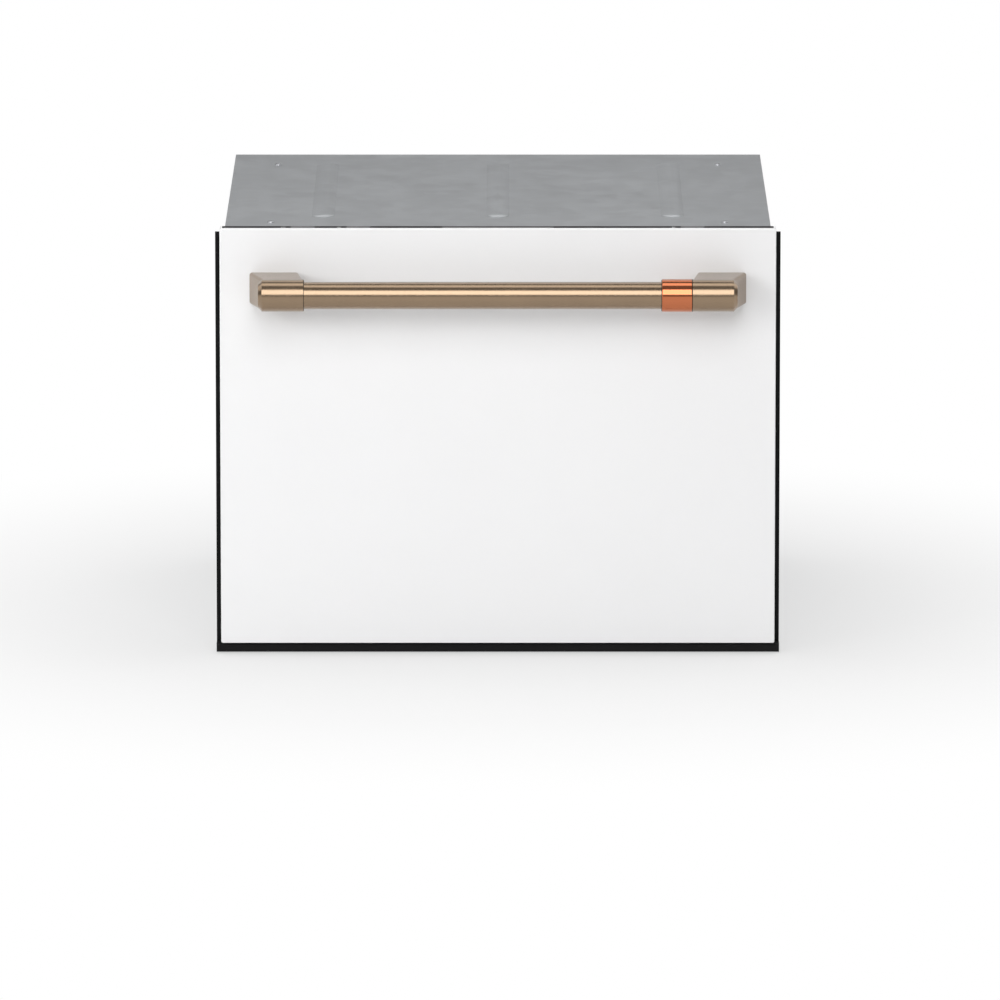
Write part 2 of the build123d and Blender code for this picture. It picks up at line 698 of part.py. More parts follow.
def lid_racks():
    """Toothed bars that hang from the lid behind the tub."""
    pitch = math.pi * GEAR_MODULE
    half_tooth = pitch / 4 - GEAR_BACKLASH / 4
    slope = math.tan(math.radians(PRESSURE_ANGLE))
    tip, root = GEAR_MODULE * STUB_ADDENDUM, GEAR_MODULE * GEAR_DEDENDUM
    line = PINION_SPAN + PITCH_RADIUS
    z = (PINION_HEIGHT - RACK_BAR_BELOW, LID_UNDERSIDE)
    y = (GEAR_FRONT, GEAR_FRONT + GEAR_WIDTH)
    bar = block((line + root, line + root + RACK_BAR_WIDTH), y, z)
    teeth = []
    wide, narrow = half_tooth + root * slope, half_tooth - tip * slope
    for step in range(1 - int(RACK_BAR_BELOW / pitch), int(PINION_DROP / pitch) - 1):
        centre = PINION_HEIGHT + (step + 0.5) * pitch
        foot = [(line + root, centre + wide), (line + root, centre - wide)]
        crest = [(line - tip, centre - narrow), (line - tip, centre + narrow)]
        face = make_face(Polyline(foot + crest, close=True))
        teeth.append(Pos(0, y[1], 0) * Rot(90, 0, 0) * extrude(face, GEAR_WIDTH))
    rack = bar + teeth
    return group([rack, mirrored(rack)])


def lid_actuators():
    """Flat gear motors on the rear wall that turn the pinions."""
    y = (BACK_WALL - ACTUATOR_DEPTH, BACK_WALL)
    box = block(around(PINION_SPAN, ACTUATOR_WIDTH), y, around(PINION_HEIGHT, ACTUATOR_HEIGHT))
    box = fillet(box.edges().filter_by(Axis.Y), ACTUATOR_ROUND)
    bore_y = (y[0] - SLIP, y[1] - SHAFT_END_GAP / 2)
    housing = box - along_y(PINION_SPAN, PINION_HEIGHT, bore_y, PINION_SHAFT_RADIUS + RUNNING_CLEARANCE)
    return group([housing, mirrored(housing)])


# Drawer front, handle and controls

def post_places():
    """Places of the handle's screws on the right-hand post."""
    centre = POST_BACK_OUTER - POST_BACK_WIDTH / 2
    return [(centre, HANDLE_HEIGHT + lift) for lift in (-POST_RADIUS / 2, POST_RADIUS / 2)]


def front_skin():
    """The painted steel front, folded back along all four edges."""
    outline = RectangleRounded(PANEL_WIDTH, PANEL_HEIGHT, PANEL_CORNER)
    middle = PANEL_FLOOR_GAP + PANEL_HEIGHT / 2
    shell = Pos(0, PANEL_DEPTH, middle) * Rot(90, 0, 0) * extrude(outline, PANEL_DEPTH)
    shell = fillet(shell.faces().sort_by(Axis.Y)[0].edges(), PANEL_EDGE)
    half = PANEL_WIDTH / 2 - PANEL_SHEET
    z = (PANEL_FLOOR_GAP + PANEL_SHEET, PANEL_TOP - PANEL_SHEET)
    shell -= block((-half, half), (PANEL_SHEET, PANEL_DEPTH + SLIP), z)
    shell -= block((-half, half), (TOP_RETURN, PANEL_DEPTH + SLIP), (z[1] - SLIP, PANEL_TOP + SLIP))
    holes = [along_y(x, z, past((0, PANEL_SHEET)), HANDLE_SCREW_RADIUS + MATE) for x, z in post_places()]
    return shell - holes - [mirrored(hole) for hole in holes]


def handle_post():
    """The right-hand post: a neck that leans inwards to a round nose around the bar's end."""
    inner = POST_FRONT_OUTER - POST_FRONT_WIDTH
    lean = [
        (POST_BACK_OUTER - POST_BACK_WIDTH, 0),
        (POST_BACK_OUTER, 0),
        (POST_FRONT_OUTER - POST_CHAMFER, -HANDLE_STAND),
        (inner, -HANDLE_STAND),
    ]
    plan = extrude(make_face(Polyline(lean, close=True)), 2 * POST_RADIUS)
    long_edges = plan.edges().filter_by(lambda edge: abs((edge % 0.5).Y) > abs((edge % 0.5).X))
    long_edges = long_edges.filter_by(lambda edge: abs((edge % 0.5).Z) < abs((edge % 0.5).Y))
    neck = Pos(0, 0, HANDLE_HEIGHT - POST_RADIUS) * fillet(long_edges, POST_EDGE)
    nose = along_x(-HANDLE_STAND, HANDLE_HEIGHT, (inner, POST_FRONT_OUTER), POST_RADIUS)
    nose = chamfer(nose.edges().filter_by(GeomType.CIRCLE).sort_by(Axis.X)[-1], POST_CHAMFER)
    post = neck + nose
    post -= along_x(-HANDLE_STAND, HANDLE_HEIGHT, past((inner, inner + BAR_SOCKET)), BAR_RADIUS + MATE)
    hole = (-HANDLE_SCREW_LENGTH, SLIP)
    return post - [along_y(x, z, hole, HANDLE_SCREW_RADIUS + MATE) for x, z in post_places()]


def handle_posts():
    """Both posts."""
    post = handle_post()
    return group([post, mirrored(post)])


def handle_bar():
    """The round bar, with its ends in the posts' sockets."""
    end = POST_FRONT_OUTER - POST_FRONT_WIDTH + BAR_SOCKET
    return along_x(-HANDLE_STAND, HANDLE_HEIGHT, (-end, end), BAR_RADIUS)


def handle_band():
    """The plain band on the bar beside the right-hand post."""
    end = POST_FRONT_OUTER - POST_FRONT_WIDTH - MATE
    start = end - BAND_LENGTH
    ring = along_x(-HANDLE_STAND, HANDLE_HEIGHT, (start, end), BAND_RADIUS)
    ring = fillet(ring.edges().filter_by(GeomType.CIRCLE), BAND_EDGE)
    return ring - along_x(-HANDLE_STAND, HANDLE_HEIGHT, past((start, end)), BAR_RADIUS + MATE)


def handle_screws():
    """Screws that hold the posts from inside the drawer front."""
    screws = []
    for x, z in post_places():
        shank = along_y(x, z, (SLIP - HANDLE_SCREW_LENGTH, PANEL_SHEET), HANDLE_SCREW_RADIUS)
        screw = shank + along_y(x, z, (PANEL_SHEET, PANEL_SHEET + SCREW_HEAD_HEIGHT), SCREW_HEAD_RADIUS)
        screws += [screw, mirrored(screw)]
    return group(screws)


def dispenser_window(margin, y):
    """The space that the dispenser passes through."""
    x = around(0, DISPENSER_WIDTH + 2 * margin)
    return block(x, y, around(DISPENSER_LEVEL, DISPENSER_HEIGHT + 2 * margin))


def front_frame():
    """The moulded frame behind the skin, open to the front."""
    x, z = (-FRAME_HALF, FRAME_HALF), (FRAME_BOTTOM, FRAME_TOP)
    shell = block(x, (FRAME_FRONT, FRAME_BACK), z)
    inside = FRAME_HALF - FRAME_WALL
    hollow = (z[0] + FRAME_WALL, z[1] - FRAME_WALL)
    shell -= block((-inside, inside), (FRAME_FRONT - SLIP, FRAME_BACK - FRAME_WALL), hollow)
    for rib in spread(*x, FRAME_RIBS + 2)[1:-1]:
        shell += block(around(rib, FRAME_WALL), (PANEL_DEPTH, FRAME_BACK), (z[0], z[0] + FRAME_RIB_HEIGHT))
    return shell - dispenser_window(SLIP, (PANEL_DEPTH, FRAME_BACK + SLIP))


def front_back_cover():
    """The flat sheet that closes the back of the folded front around the frame."""
    half = PANEL_WIDTH / 2 - PANEL_SHEET - MATE
    y = (PANEL_DEPTH - COVER_SHEET, PANEL_DEPTH)
    z = (PANEL_FLOOR_GAP + PANEL_SHEET + MATE, CONTROL_TOP - CONTROL_HEIGHT - MATE)
    window = around(0, 2 * (FRAME_HALF + MATE))
    return block((-half, half), y, z) - block(window, past(y), (FRAME_BOTTOM - MATE, FRAME_TOP + MATE))


def strip_pocket(x, length, width, depth):
    """A pocket in the control strip's top face."""
    z = (CONTROL_TOP - depth, CONTROL_TOP + SLIP)
    return block(around(x, length), around(CONTROL_MIDDLE, width), z)


def control_strip():
    """The control strip along the drawer front's top edge."""
    z = (CONTROL_TOP - CONTROL_HEIGHT, CONTROL_TOP)
    strip = block((-CONTROL_HALF, CONTROL_HALF), (TOP_RETURN + MATE, PANEL_DEPTH), z)
    room = 2 * BUTTON_CLEARANCE
    depth = BUTTON_HEIGHT + BUTTON_TRAVEL
    for x in BUTTON_PLACES.values():
        strip -= strip_pocket(x, BUTTON_LENGTH + room, BUTTON_WIDTH + room, depth)
    return strip - strip_pocket(0, DISPLAY_LENGTH + 2 * MATE, DISPLAY_WIDTH + 2 * MATE, DISPLAY_THICKNESS)


def button(x):
    """One push button, a little proud of the strip."""
    top = CONTROL_TOP + BUTTON_PROUD
    cap = block(around(x, BUTTON_LENGTH), around(CONTROL_MIDDLE, BUTTON_WIDTH), (top - BUTTON_HEIGHT, top))
    cap = fillet(cap.edges().filter_by(Axis.Z), BUTTON_CORNER)
    return fillet(cap.faces().sort_by(Axis.Z)[-1].edges(), BUTTON_PROUD)


def display_window():
    """The dark window over the display."""
    z = (CONTROL_TOP - DISPLAY_THICKNESS, CONTROL_TOP)
    return block(around(0, DISPLAY_LENGTH), around(CONTROL_MIDDLE, DISPLAY_WIDTH), z)


def control_module():
    """The boxed circuit board on the frame's rear wall."""
    back = FRAME_BACK - FRAME_WALL
    top = DISPENSER_LEVEL - DISPENSER_HEIGHT / 2 - MODULE_GAP
    box = block(around(0, MODULE_WIDTH), (back - MODULE_DEPTH, back), (top - MODULE_HEIGHT, top))
    return fillet(box.edges().filter_by(Axis.Y), MODULE_ROUND)


# Detergent and rinse-aid dispenser

def hinge_eyes():
    """The housing's two hinge eyes below the detergent cup."""
    low, high = around(-CUP_OFFSET, CUP_WIDTH + 2 * DOOR_MARGIN)
    web_z = (HINGE_HEIGHT - HINGE_EYE_RADIUS, HINGE_HEIGHT + HINGE_PIN_RADIUS)
    eyes = []
    for x in ((low, low + HINGE_EYE_LENGTH), (high - HINGE_EYE_LENGTH, high)):
        eye = along_x(HINGE_DEPTH, HINGE_HEIGHT, x, HINGE_EYE_RADIUS)
        eyes.append(eye + block(x, (DISPENSER_FACE, HINGE_DEPTH), web_z))
    return eyes


def dispenser_housing():
    """The moulded housing through the tub's front wall, with a cup and a filler neck."""
    body = dispenser_window(0, (TUB_INSIDE_FRONT - DISPENSER_SINK, DISPENSER_FACE))
    flange = dispenser_window(DISPENSER_FLANGE, (TUB_INSIDE_FRONT, DISPENSER_FACE))
    flange = fillet(flange.edges().filter_by(Axis.Y), DISPENSER_FLANGE)
    cup_y = (DISPENSER_FACE - CUP_DEPTH, DISPENSER_FACE + SLIP)
    cup = block(around(-CUP_OFFSET, CUP_WIDTH), cup_y, around(DISPENSER_LEVEL, CUP_HEIGHT))
    neck_y = past((DISPENSER_FACE - RINSE_NECK_DEPTH, DISPENSER_FACE))
    neck = along_y(RINSE_OFFSET, DISPENSER_LEVEL, neck_y, RINSE_NECK_RADIUS + MATE)
    pin_x = past(around(-CUP_OFFSET, CUP_WIDTH + 2 * DOOR_MARGIN))
    pin_hole = along_x(HINGE_DEPTH, HINGE_HEIGHT, pin_x, HINGE_PIN_RADIUS + RUNNING_CLEARANCE)
    return body + flange + hinge_eyes() - cup - neck - pin_hole


def dispenser_door():
    """The flap over the detergent cup, hinged along its lower edge."""
    x = around(-CUP_OFFSET, CUP_WIDTH + 2 * DOOR_MARGIN)
    y = (DISPENSER_FACE + DOOR_GAP, DISPENSER_FACE + DOOR_GAP + DOOR_THICKNESS)
    top = DISPENSER_LEVEL + CUP_HEIGHT / 2 + DOOR_MARGIN
    flap = block(x, y, (DOOR_LOW + DOOR_GAP, top))
    flap = fillet(flap.edges().filter_by(Axis.Y), DOOR_CORNER)
    inner = (x[0] + HINGE_EYE_LENGTH + SLIP, x[1] - HINGE_EYE_LENGTH - SLIP)
    barrel = along_x(HINGE_DEPTH, HINGE_HEIGHT, inner, HINGE_EYE_RADIUS)
    web = block(inner, y, (HINGE_HEIGHT, DOOR_LOW + 2 * DOOR_GAP))
    pin = along_x(HINGE_DEPTH, HINGE_HEIGHT, x, HINGE_PIN_RADIUS)
    return flap + barrel + web + pin


def rinse_cap():
    """The twist cap of the rinse-aid filler."""
    face = DISPENSER_FACE + MATE
    top = face + RINSE_CAP_HEIGHT
    disc = along_y(RINSE_OFFSET, DISPENSER_LEVEL, (face, top), RINSE_RADIUS)
    plug_y = (DISPENSER_FACE - RINSE_NECK_DEPTH, top)
    plug = along_y(RINSE_OFFSET, DISPENSER_LEVEL, plug_y, RINSE_NECK_RADIUS)
    grip_x = around(RINSE_OFFSET, 2 * (RINSE_RADIUS - RINSE_GRIP_INSET))
    grip = block(grip_x, (top, top + RINSE_GRIP_RISE), around(DISPENSER_LEVEL, RINSE_GRIP_WIDTH))
    return disc + plug + fillet(grip.faces().sort_by(Axis.Y)[-1].edges(), RINSE_GRIP_ROUND)


# Tub and gasket

def tub():
    """The moulded tub, with its rim, rack ledges and the bosses that carry the front."""
    shell = slab(2 * TUB_HALF, TUB_LENGTH, TUB_CORNER, (TUB_FLOOR_HEIGHT, RIM_TOP), TUB_MIDDLE)
    shell = fillet(shell.edges().group_by(Axis.Z)[0], TUB_FLOOR_ROUND + TUB_WALL)
    rim_width, rim_length = 2 * (TUB_HALF + RIM_OVERHANG), TUB_LENGTH + 2 * RIM_OVERHANG
    rim = (RIM_TOP - RIM_THICKNESS, RIM_TOP)
    shell += slab(rim_width, rim_length, TUB_CORNER + RIM_OVERHANG, rim, TUB_MIDDLE)
    length, inside = TUB_LENGTH - 2 * TUB_WALL, (TUB_INSIDE_FLOOR, RIM_TOP + SLIP)
    cavity = slab(2 * TUB_INSIDE_HALF, length, TUB_CORNER - TUB_WALL, inside, TUB_MIDDLE)
    shell -= fillet(cavity.edges().group_by(Axis.Z)[0], TUB_FLOOR_ROUND)
    floor = past((TUB_FLOOR_HEIGHT, TUB_INSIDE_FLOOR))
    shell -= upright(0, TUB_MIDDLE, floor, SUMP_RADIUS + PLATE_SEAT)
    shell -= dispenser_window(SLIP, past((TUB_FRONT, TUB_INSIDE_FRONT)))
    ledge_top = CROSS_HEIGHT - WIRE - SLIP
    for side in (-1, 1):
        x = (side * (TUB_INSIDE_HALF - LEDGE_REACH), side * (TUB_INSIDE_HALF + TUB_WALL / 2))
        for y in (TUB_INSIDE_FRONT + LEDGE_SETBACK, TUB_INSIDE_BACK - LEDGE_SETBACK):
            shell += block(x, around(y, LEDGE_LENGTH), (ledge_top - LEDGE_DEPTH, ledge_top))
        boss_y = (FRAME_BACK, TUB_FRONT + TUB_WALL / 2)
        shell += along_y(side * TUB_BOSS_SPAN, TUB_BOSS_HEIGHT, boss_y, TUB_BOSS_RADIUS)
    return shell


def tub_gasket():
    """The rubber gasket on the tub's rim, which the lid closes on."""
    width = 2 * (TUB_INSIDE_HALF + GASKET_SETBACK)
    length = TUB_LENGTH - 2 * (TUB_WALL - GASKET_SETBACK)
    corner = TUB_CORNER - TUB_WALL + GASKET_SETBACK
    z = (RIM_TOP, GASKET_TOP)
    grow = 2 * GASKET_WIDTH
    ring = slab(width + grow, length + grow, corner + GASKET_WIDTH, z, TUB_MIDDLE)
    ring -= slab(width, length, corner, past(z), TUB_MIDDLE)
    return fillet(ring.faces().sort_by(Axis.Z)[-1].edges(), GASKET_ROUND)


# Sump, motor, filter and spray arm, about the tub's middle

def sump():
    """The round sump bowl below the tub, with its drain port at the rear."""
    z = (SUMP_TOP - SUMP_DEPTH, SUMP_TOP)
    bowl = upright(0, TUB_MIDDLE, z, SUMP_RADIUS + SUMP_WALL)
    bowl += upright(0, TUB_MIDDLE, (SUMP_TOP - SUMP_WALL, SUMP_TOP), SUMP_RADIUS + SUMP_FLANGE)
    height = z[0] + DRAIN_PORT_LIFT
    port = (TUB_MIDDLE, TUB_MIDDLE + SUMP_RADIUS + DRAIN_PORT_LENGTH)
    bowl += along_y(DRAIN_PORT_OFFSET, height, port, DRAIN_PORT_RADIUS)
    bowl -= upright(0, TUB_MIDDLE, (SUMP_FLOOR, SUMP_TOP + SLIP), SUMP_RADIUS)
    bowl -= upright(0, TUB_MIDDLE, past((z[0], SUMP_FLOOR)), SEAL_RADIUS + MATE)
    return bowl - along_y(DRAIN_PORT_OFFSET, height, (port[0], port[1] + SLIP), DRAIN_PORT_BORE)


def shaft_seal():
    """The seal ring round the motor shaft in the sump's floor."""
    z = (MOTOR_TOP, MOTOR_TOP + SEAL_HEIGHT)
    ring = upright(0, TUB_MIDDLE, z, SEAL_RADIUS)
    return ring - upright(0, TUB_MIDDLE, past(z), SHAFT_RADIUS + MATE)


def motor_housing():
    """The cup below the sump that holds the motor."""
    z = (MOTOR_TOP - MOTOR_HEIGHT, MOTOR_TOP)
    cup = upright(0, TUB_MIDDLE, z, MOTOR_RADIUS)
    cup = fillet(cup.edges().group_by(Axis.Z)[0], MOTOR_WALL)
    return cup - upright(0, TUB_MIDDLE, (z[0] + MOTOR_WALL, z[1] + SLIP), MOTOR_RADIUS - MOTOR_WALL)


def stator():
    """The slotted iron ring inside the motor housing."""
    low = MOTOR_TOP - MOTOR_HEIGHT + MOTOR_WALL
    z = (low, low + STATOR_HEIGHT)
    ring = upright(0, TUB_MIDDLE, z, MOTOR_RADIUS - MOTOR_WALL - MATE)
    bore = ROTOR_RADIUS + AIR_GAP
    ring -= upright(0, TUB_MIDDLE, past(z), bore)
    slot = block((bore - SLIP, bore + STATOR_SLOT_DEPTH), around(0, STATOR_SLOT_WIDTH), past(z))
    turns = [360 * i / STATOR_SLOTS for i in range(STATOR_SLOTS)]
    return ring - [Pos(0, TUB_MIDDLE, 0) * Rot(0, 0, turn) * slot for turn in turns]


def rotor():
    """The magnet on its shaft, with the wash impeller at the top."""
    low = MOTOR_TOP - MOTOR_HEIGHT + MOTOR_WALL + SLIP
    disc = (SUMP_FLOOR + IMPELLER_LIFT, SUMP_FLOOR + IMPELLER_LIFT + IMPELLER_DISC)
    shaft = upright(0, TUB_MIDDLE, (low, disc[1] + VANE_HEIGHT), SHAFT_RADIUS)
    magnet = upright(0, TUB_MIDDLE, (low, low + STATOR_HEIGHT), ROTOR_RADIUS)
    wheel = upright(0, TUB_MIDDLE, disc, IMPELLER_RADIUS)
    vane_x = (SHAFT_RADIUS / 2, IMPELLER_RADIUS - VANE_THICKNESS)
    vane = block(vane_x, around(0, VANE_THICKNESS), (disc[0], disc[1] + VANE_HEIGHT))
    turns = [360 * i / VANE_COUNT for i in range(VANE_COUNT)]
    vanes = [Pos(0, TUB_MIDDLE, 0) * Rot(0, 0, turn) * vane for turn in turns]
    return fused([shaft, magnet, wheel] + vanes)


def heater_ring():
    """The tubular heater round the sump's floor."""
    return Pos(0, TUB_MIDDLE, SUMP_FLOOR + HEATER_TUBE + SLIP) * Torus(HEATER_RADIUS, HEATER_TUBE)


def filter_place():
    """Centre of the drain filter."""
    return (FILTER_OFFSET, TUB_MIDDLE)


def filter_plate():
    """The slotted steel plate over the sump, with the spray arm's post in its centre."""
    x, _ = filter_place()
    face = Circle(SUMP_RADIUS + PLATE_SEAT - PLATE_CLEARANCE)
    hole = FILTER_RADIUS + MATE
    face -= Pos(x, 0) * Circle(hole)
    clear = hole + FILTER_RIM + PLATE_SLOT_LENGTH / 2
    slot = SlotOverall(PLATE_SLOT_LENGTH, PLATE_SLOT_WIDTH)
    for ring in range(PLATE_RINGS):
        radius = SUMP_RADIUS - PLATE_RING_INSET - ring * PLATE_RING_STEP
        count = int(2 * math.pi * radius / PLATE_SLOT_PITCH)
        for i in range(count):
            place = Rot(0, 0, 360 * (i + 0.5) / count) * Pos(radius, 0)
            if math.dist((place.position.X, place.position.Y), (x, 0)) > clear:
                face -= place * slot
    plate = Pos(0, TUB_MIDDLE, SUMP_TOP) * extrude(face, PLATE_THICKNESS)
    post = upright(0, TUB_MIDDLE, (SUMP_TOP, SPRAY_POST_TOP), SPRAY_POST_RADIUS)
    return plate + post


def drain_filter():
    """The twist-out filter cup beside the spray arm's post."""
    x, y = filter_place()
    rim = (PLATE_TOP + MATE, FILTER_TOP)
    low = rim[0] - FILTER_DEPTH
    cup = upright(x, y, (low, rim[1]), FILTER_RADIUS) + upright(x, y, rim, FILTER_RADIUS + FILTER_RIM)
    cup -= upright(x, y, (low + FILTER_WALL, rim[1] + SLIP), FILTER_RADIUS - FILTER_WALL)
    across = 2 * FILTER_RADIUS - FILTER_WALL
    grip = (rim[0] - FILTER_GRIP_HEIGHT, rim[1])
    bridge = block(around(x, across), around(y, FILTER_GRIP_WIDTH), grip)
    rib = block(around(x, FILTER_GRIP_WIDTH), around(y, across), (low, grip[0]))
    return cup + bridge + rib


def spray_arm():
    """The two-bladed spray arm on the filter plate's post."""
    hub_z = (PLATE_TOP + ARM_LIFT, ARM_TOP)
    blade_z = (ARM_TOP - ARM_THICKNESS, ARM_TOP)
    root, tip = ARM_ROOT_WIDTH / 2, ARM_TIP_WIDTH / 2
    blade_end = ARM_RADIUS - tip
    outline = Polyline((blade_end, tip), (0, root), (0, -root), (blade_end, -tip))
    outline += ThreePointArc((blade_end, -tip), (ARM_RADIUS, 0), (blade_end, tip))
    blade = extrude(make_face(outline), ARM_THICKNESS)
    arm = Pos(0, 0, blade_z[0]) * (blade + Rot(0, 0, 180) * blade)
    arm = fillet(arm.faces().sort_by(Axis.Z)[-1].edges(), ARM_ROUND)
    arm += upright(0, 0, hub_z, ARM_HUB_RADIUS)
    jet_z = (blade_z[1] - ARM_JET_DEPTH, blade_z[1] + SLIP)
    for place in spread(2 * ARM_HUB_RADIUS, blade_end, ARM_JETS):
        jet = block(around(place, ARM_JET_WIDTH), around(0, ARM_JET_LENGTH), jet_z)
        arm -= [jet, Rot(0, 0, 180) * jet]
    arm -= upright(0, 0, (hub_z[0] - SLIP, SPRAY_POST_TOP + MATE), SPRAY_POST_RADIUS + RUNNING_CLEARANCE)
    return Pos(0, TUB_MIDDLE, 0) * arm


# Wire rack

def side_places():
    """Depths of the cross wires, shared by the rack's floor and sides."""
    return spread(RACK_FRONT + 2 * RACK_BEND, RACK_BACK - 2 * RACK_BEND, SIDE_WIRES)


def end_places():
    """Places of the long wires, shared by the rack's floor and ends."""
    return spread(2 * RACK_BEND - RACK_HALF, RACK_HALF - 2 * RACK_BEND, END_WIRES)


def rack_floor():
    """The floor grid: cross wires with long wires welded on top."""
    x = RACK_HALF - BEND_START
    cross = [along_x(y, CROSS_HEIGHT, (-x, x), WIRE) for y in side_places()]
    y = (RACK_FRONT + BEND_START, RACK_BACK - BEND_START)
    long = [along_y(x, LONG_HEIGHT, y, WIRE) for x in end_places()]
    return fused(cross + long)


def bent_wire(points, radius):
    """A wire of that radius through these points, with rounded bends."""
    path = FilletPolyline(*points, radius=RACK_BEND)
    return sweep(Plane(path @ 0, z_dir=path % 0) * Circle(radius), path=path)


def rack_sides():
    """The left and right walls of the rack, each with a middle rail and a top rail."""
    foot = RACK_HALF - BEND_START
    points = [(foot, 0, CROSS_HEIGHT), (RACK_HALF, 0, CROSS_HEIGHT), (RACK_HALF, 0, RACK_TOP)]
    post = bent_wire(points, WIRE)
    places = side_places()
    posts = [Pos(0, y, 0) * post for y in places]
    rail = RACK_HALF - 2 * WIRE + WELD_BITE
    span = (places[0] - RACK_BEND, places[-1] + RACK_BEND)
    middle = along_y(rail, RACK_MID_HEIGHT, span, WIRE)
    top = along_y(RACK_HALF, RACK_TOP, (RACK_FRONT + BEND_START, RACK_BACK - BEND_START), RIM_WIRE)
    side = fused(posts + [middle, top])
    return group([side, mirrored(side)])


def rack_ends():
    """The front and rear walls of the rack, which carry the top rail round the corners."""
    y = RACK_FRONT
    points = [(0, y + BEND_START, LONG_HEIGHT), (0, y, LONG_HEIGHT), (0, y, RACK_TOP)]
    post = bent_wire(points, WIRE)
    places = end_places()
    posts = [Pos(x, 0, 0) * post for x in places]
    rail = y + 2 * WIRE - WELD_BITE
    span = (places[0] - RACK_BEND, places[-1] + RACK_BEND)
    middle = along_x(rail, RACK_MID_HEIGHT, span, WIRE)
    left, right, back = -RACK_HALF, RACK_HALF, y + BEND_START
    corners = [(left, back, RACK_TOP), (left, y, RACK_TOP), (right, y, RACK_TOP), (right, back, RACK_TOP)]
    top = bent_wire(corners, RIM_WIRE)
    end = fused(posts + [middle, top])
    halfway = Plane(origin=(0, (RACK_FRONT + RACK_BACK) / 2, 0), z_dir=(0, 1, 0))
    return group([end, mirror(end, about=halfway)])


def tine_place(wire):
    """Place of a rod over one of the long wires, counted from the middle one."""
    return end_places()[END_WIRES // 2 + wire]


def tine_depths():
    """Depths of a row's tines, as many as the rack has room for behind the basket."""
    start = RACK_FRONT + TINE_SETBACK
    room = RACK_BACK - RACK_BEND - TINE_PITCH / 2 - start
    return [start + TINE_PITCH * i for i in range(int(room / TINE_PITCH) + 1)]


def tine_row(wire):
    """A comb of upright tines on one rod."""
    x = tine_place(wire)
    places = tine_depths()
    rod = along_y(x, ROD_HEIGHT, (places[0] - TINE_PITCH / 2, places[-1] + TINE_PITCH / 2), ROD_RADIUS)
    tines = []
    for y in places:
        tine = upright(x, y, (ROD_HEIGHT, TINE_TOP), TINE_RADIUS)
        tines.append(fillet(tine.edges().sort_by(Axis.Z)[-1], TINE_TIP))
    return fused([rod] + tines)


def fixed_tines():
    """The outer rows, which don't fold."""
    row = tine_row(FIXED_WIRE)
    return group([row, mirrored(row)])


def tine_clips():
    """Bearing blocks on the rack's floor that carry the four rods."""
    places = tine_depths()
    gaps = [(first + second) / 2 for first, second in zip(places, places[1:])]
    z = (LONG_HEIGHT + WIRE + MATE, ROD_HEIGHT + CLIP_RISE)
    clips = []
    for x in (tine_place(FOLD_WIRE), tine_place(FIXED_WIRE)):
        for y in (gaps[0], gaps[len(gaps) // 2], gaps[-1]):
            clip = block(around(x, CLIP_WIDTH), around(y, CLIP_LENGTH), z)
            clip -= along_y(x, ROD_HEIGHT, past(around(y, CLIP_LENGTH)), ROD_RADIUS + RUNNING_CLEARANCE)
            clips += [clip, mirrored(clip)]
    return group(clips)


def cup_rack(side):
    """A slotted shelf that swings on the rack's top rail."""
    outer = RACK_HALF - CUP_RACK_RING
    inner = outer - CUP_RACK_REACH
    middle = (RACK_FRONT + RACK_BACK) / 2
    centre = (inner + outer) / 2
    face = Pos(centre, middle) * RectangleRounded(CUP_RACK_REACH, CUP_RACK_LENGTH, CUP_RACK_CORNER)
    reach = CUP_RACK_LENGTH / 2 - CUP_RACK_SLOT_WIDTH - CUP_RACK_SHEET
    for y in spread(middle - reach, middle + reach, CUP_RACK_SLOTS):
        face -= Pos(centre, y) * SlotOverall(CUP_RACK_SLOT_LENGTH, CUP_RACK_SLOT_WIDTH)
    z = around(RACK_TOP, CUP_RACK_SHEET)
    shelf = Pos(0, 0, z[0]) * extrude(face, CUP_RACK_SHEET)
    posts = [y for y in side_places() if abs(y - middle) < CUP_RACK_LENGTH / 2]
    for first, second in zip(posts[:-1:2], posts[1::2]):
        ends = around((first + second) / 2, CUP_RACK_RING_LENGTH)
        shelf += along_y(RACK_HALF, RACK_TOP, ends, CUP_RACK_RING)
        shelf += block((outer - CUP_RACK_SHEET, RACK_HALF), ends, z)
    shelf -= along_y(RACK_HALF, RACK_TOP, (RACK_FRONT, RACK_BACK), RIM_WIRE + RUNNING_CLEARANCE)
    return shelf if side > 0 else mirrored(shelf)


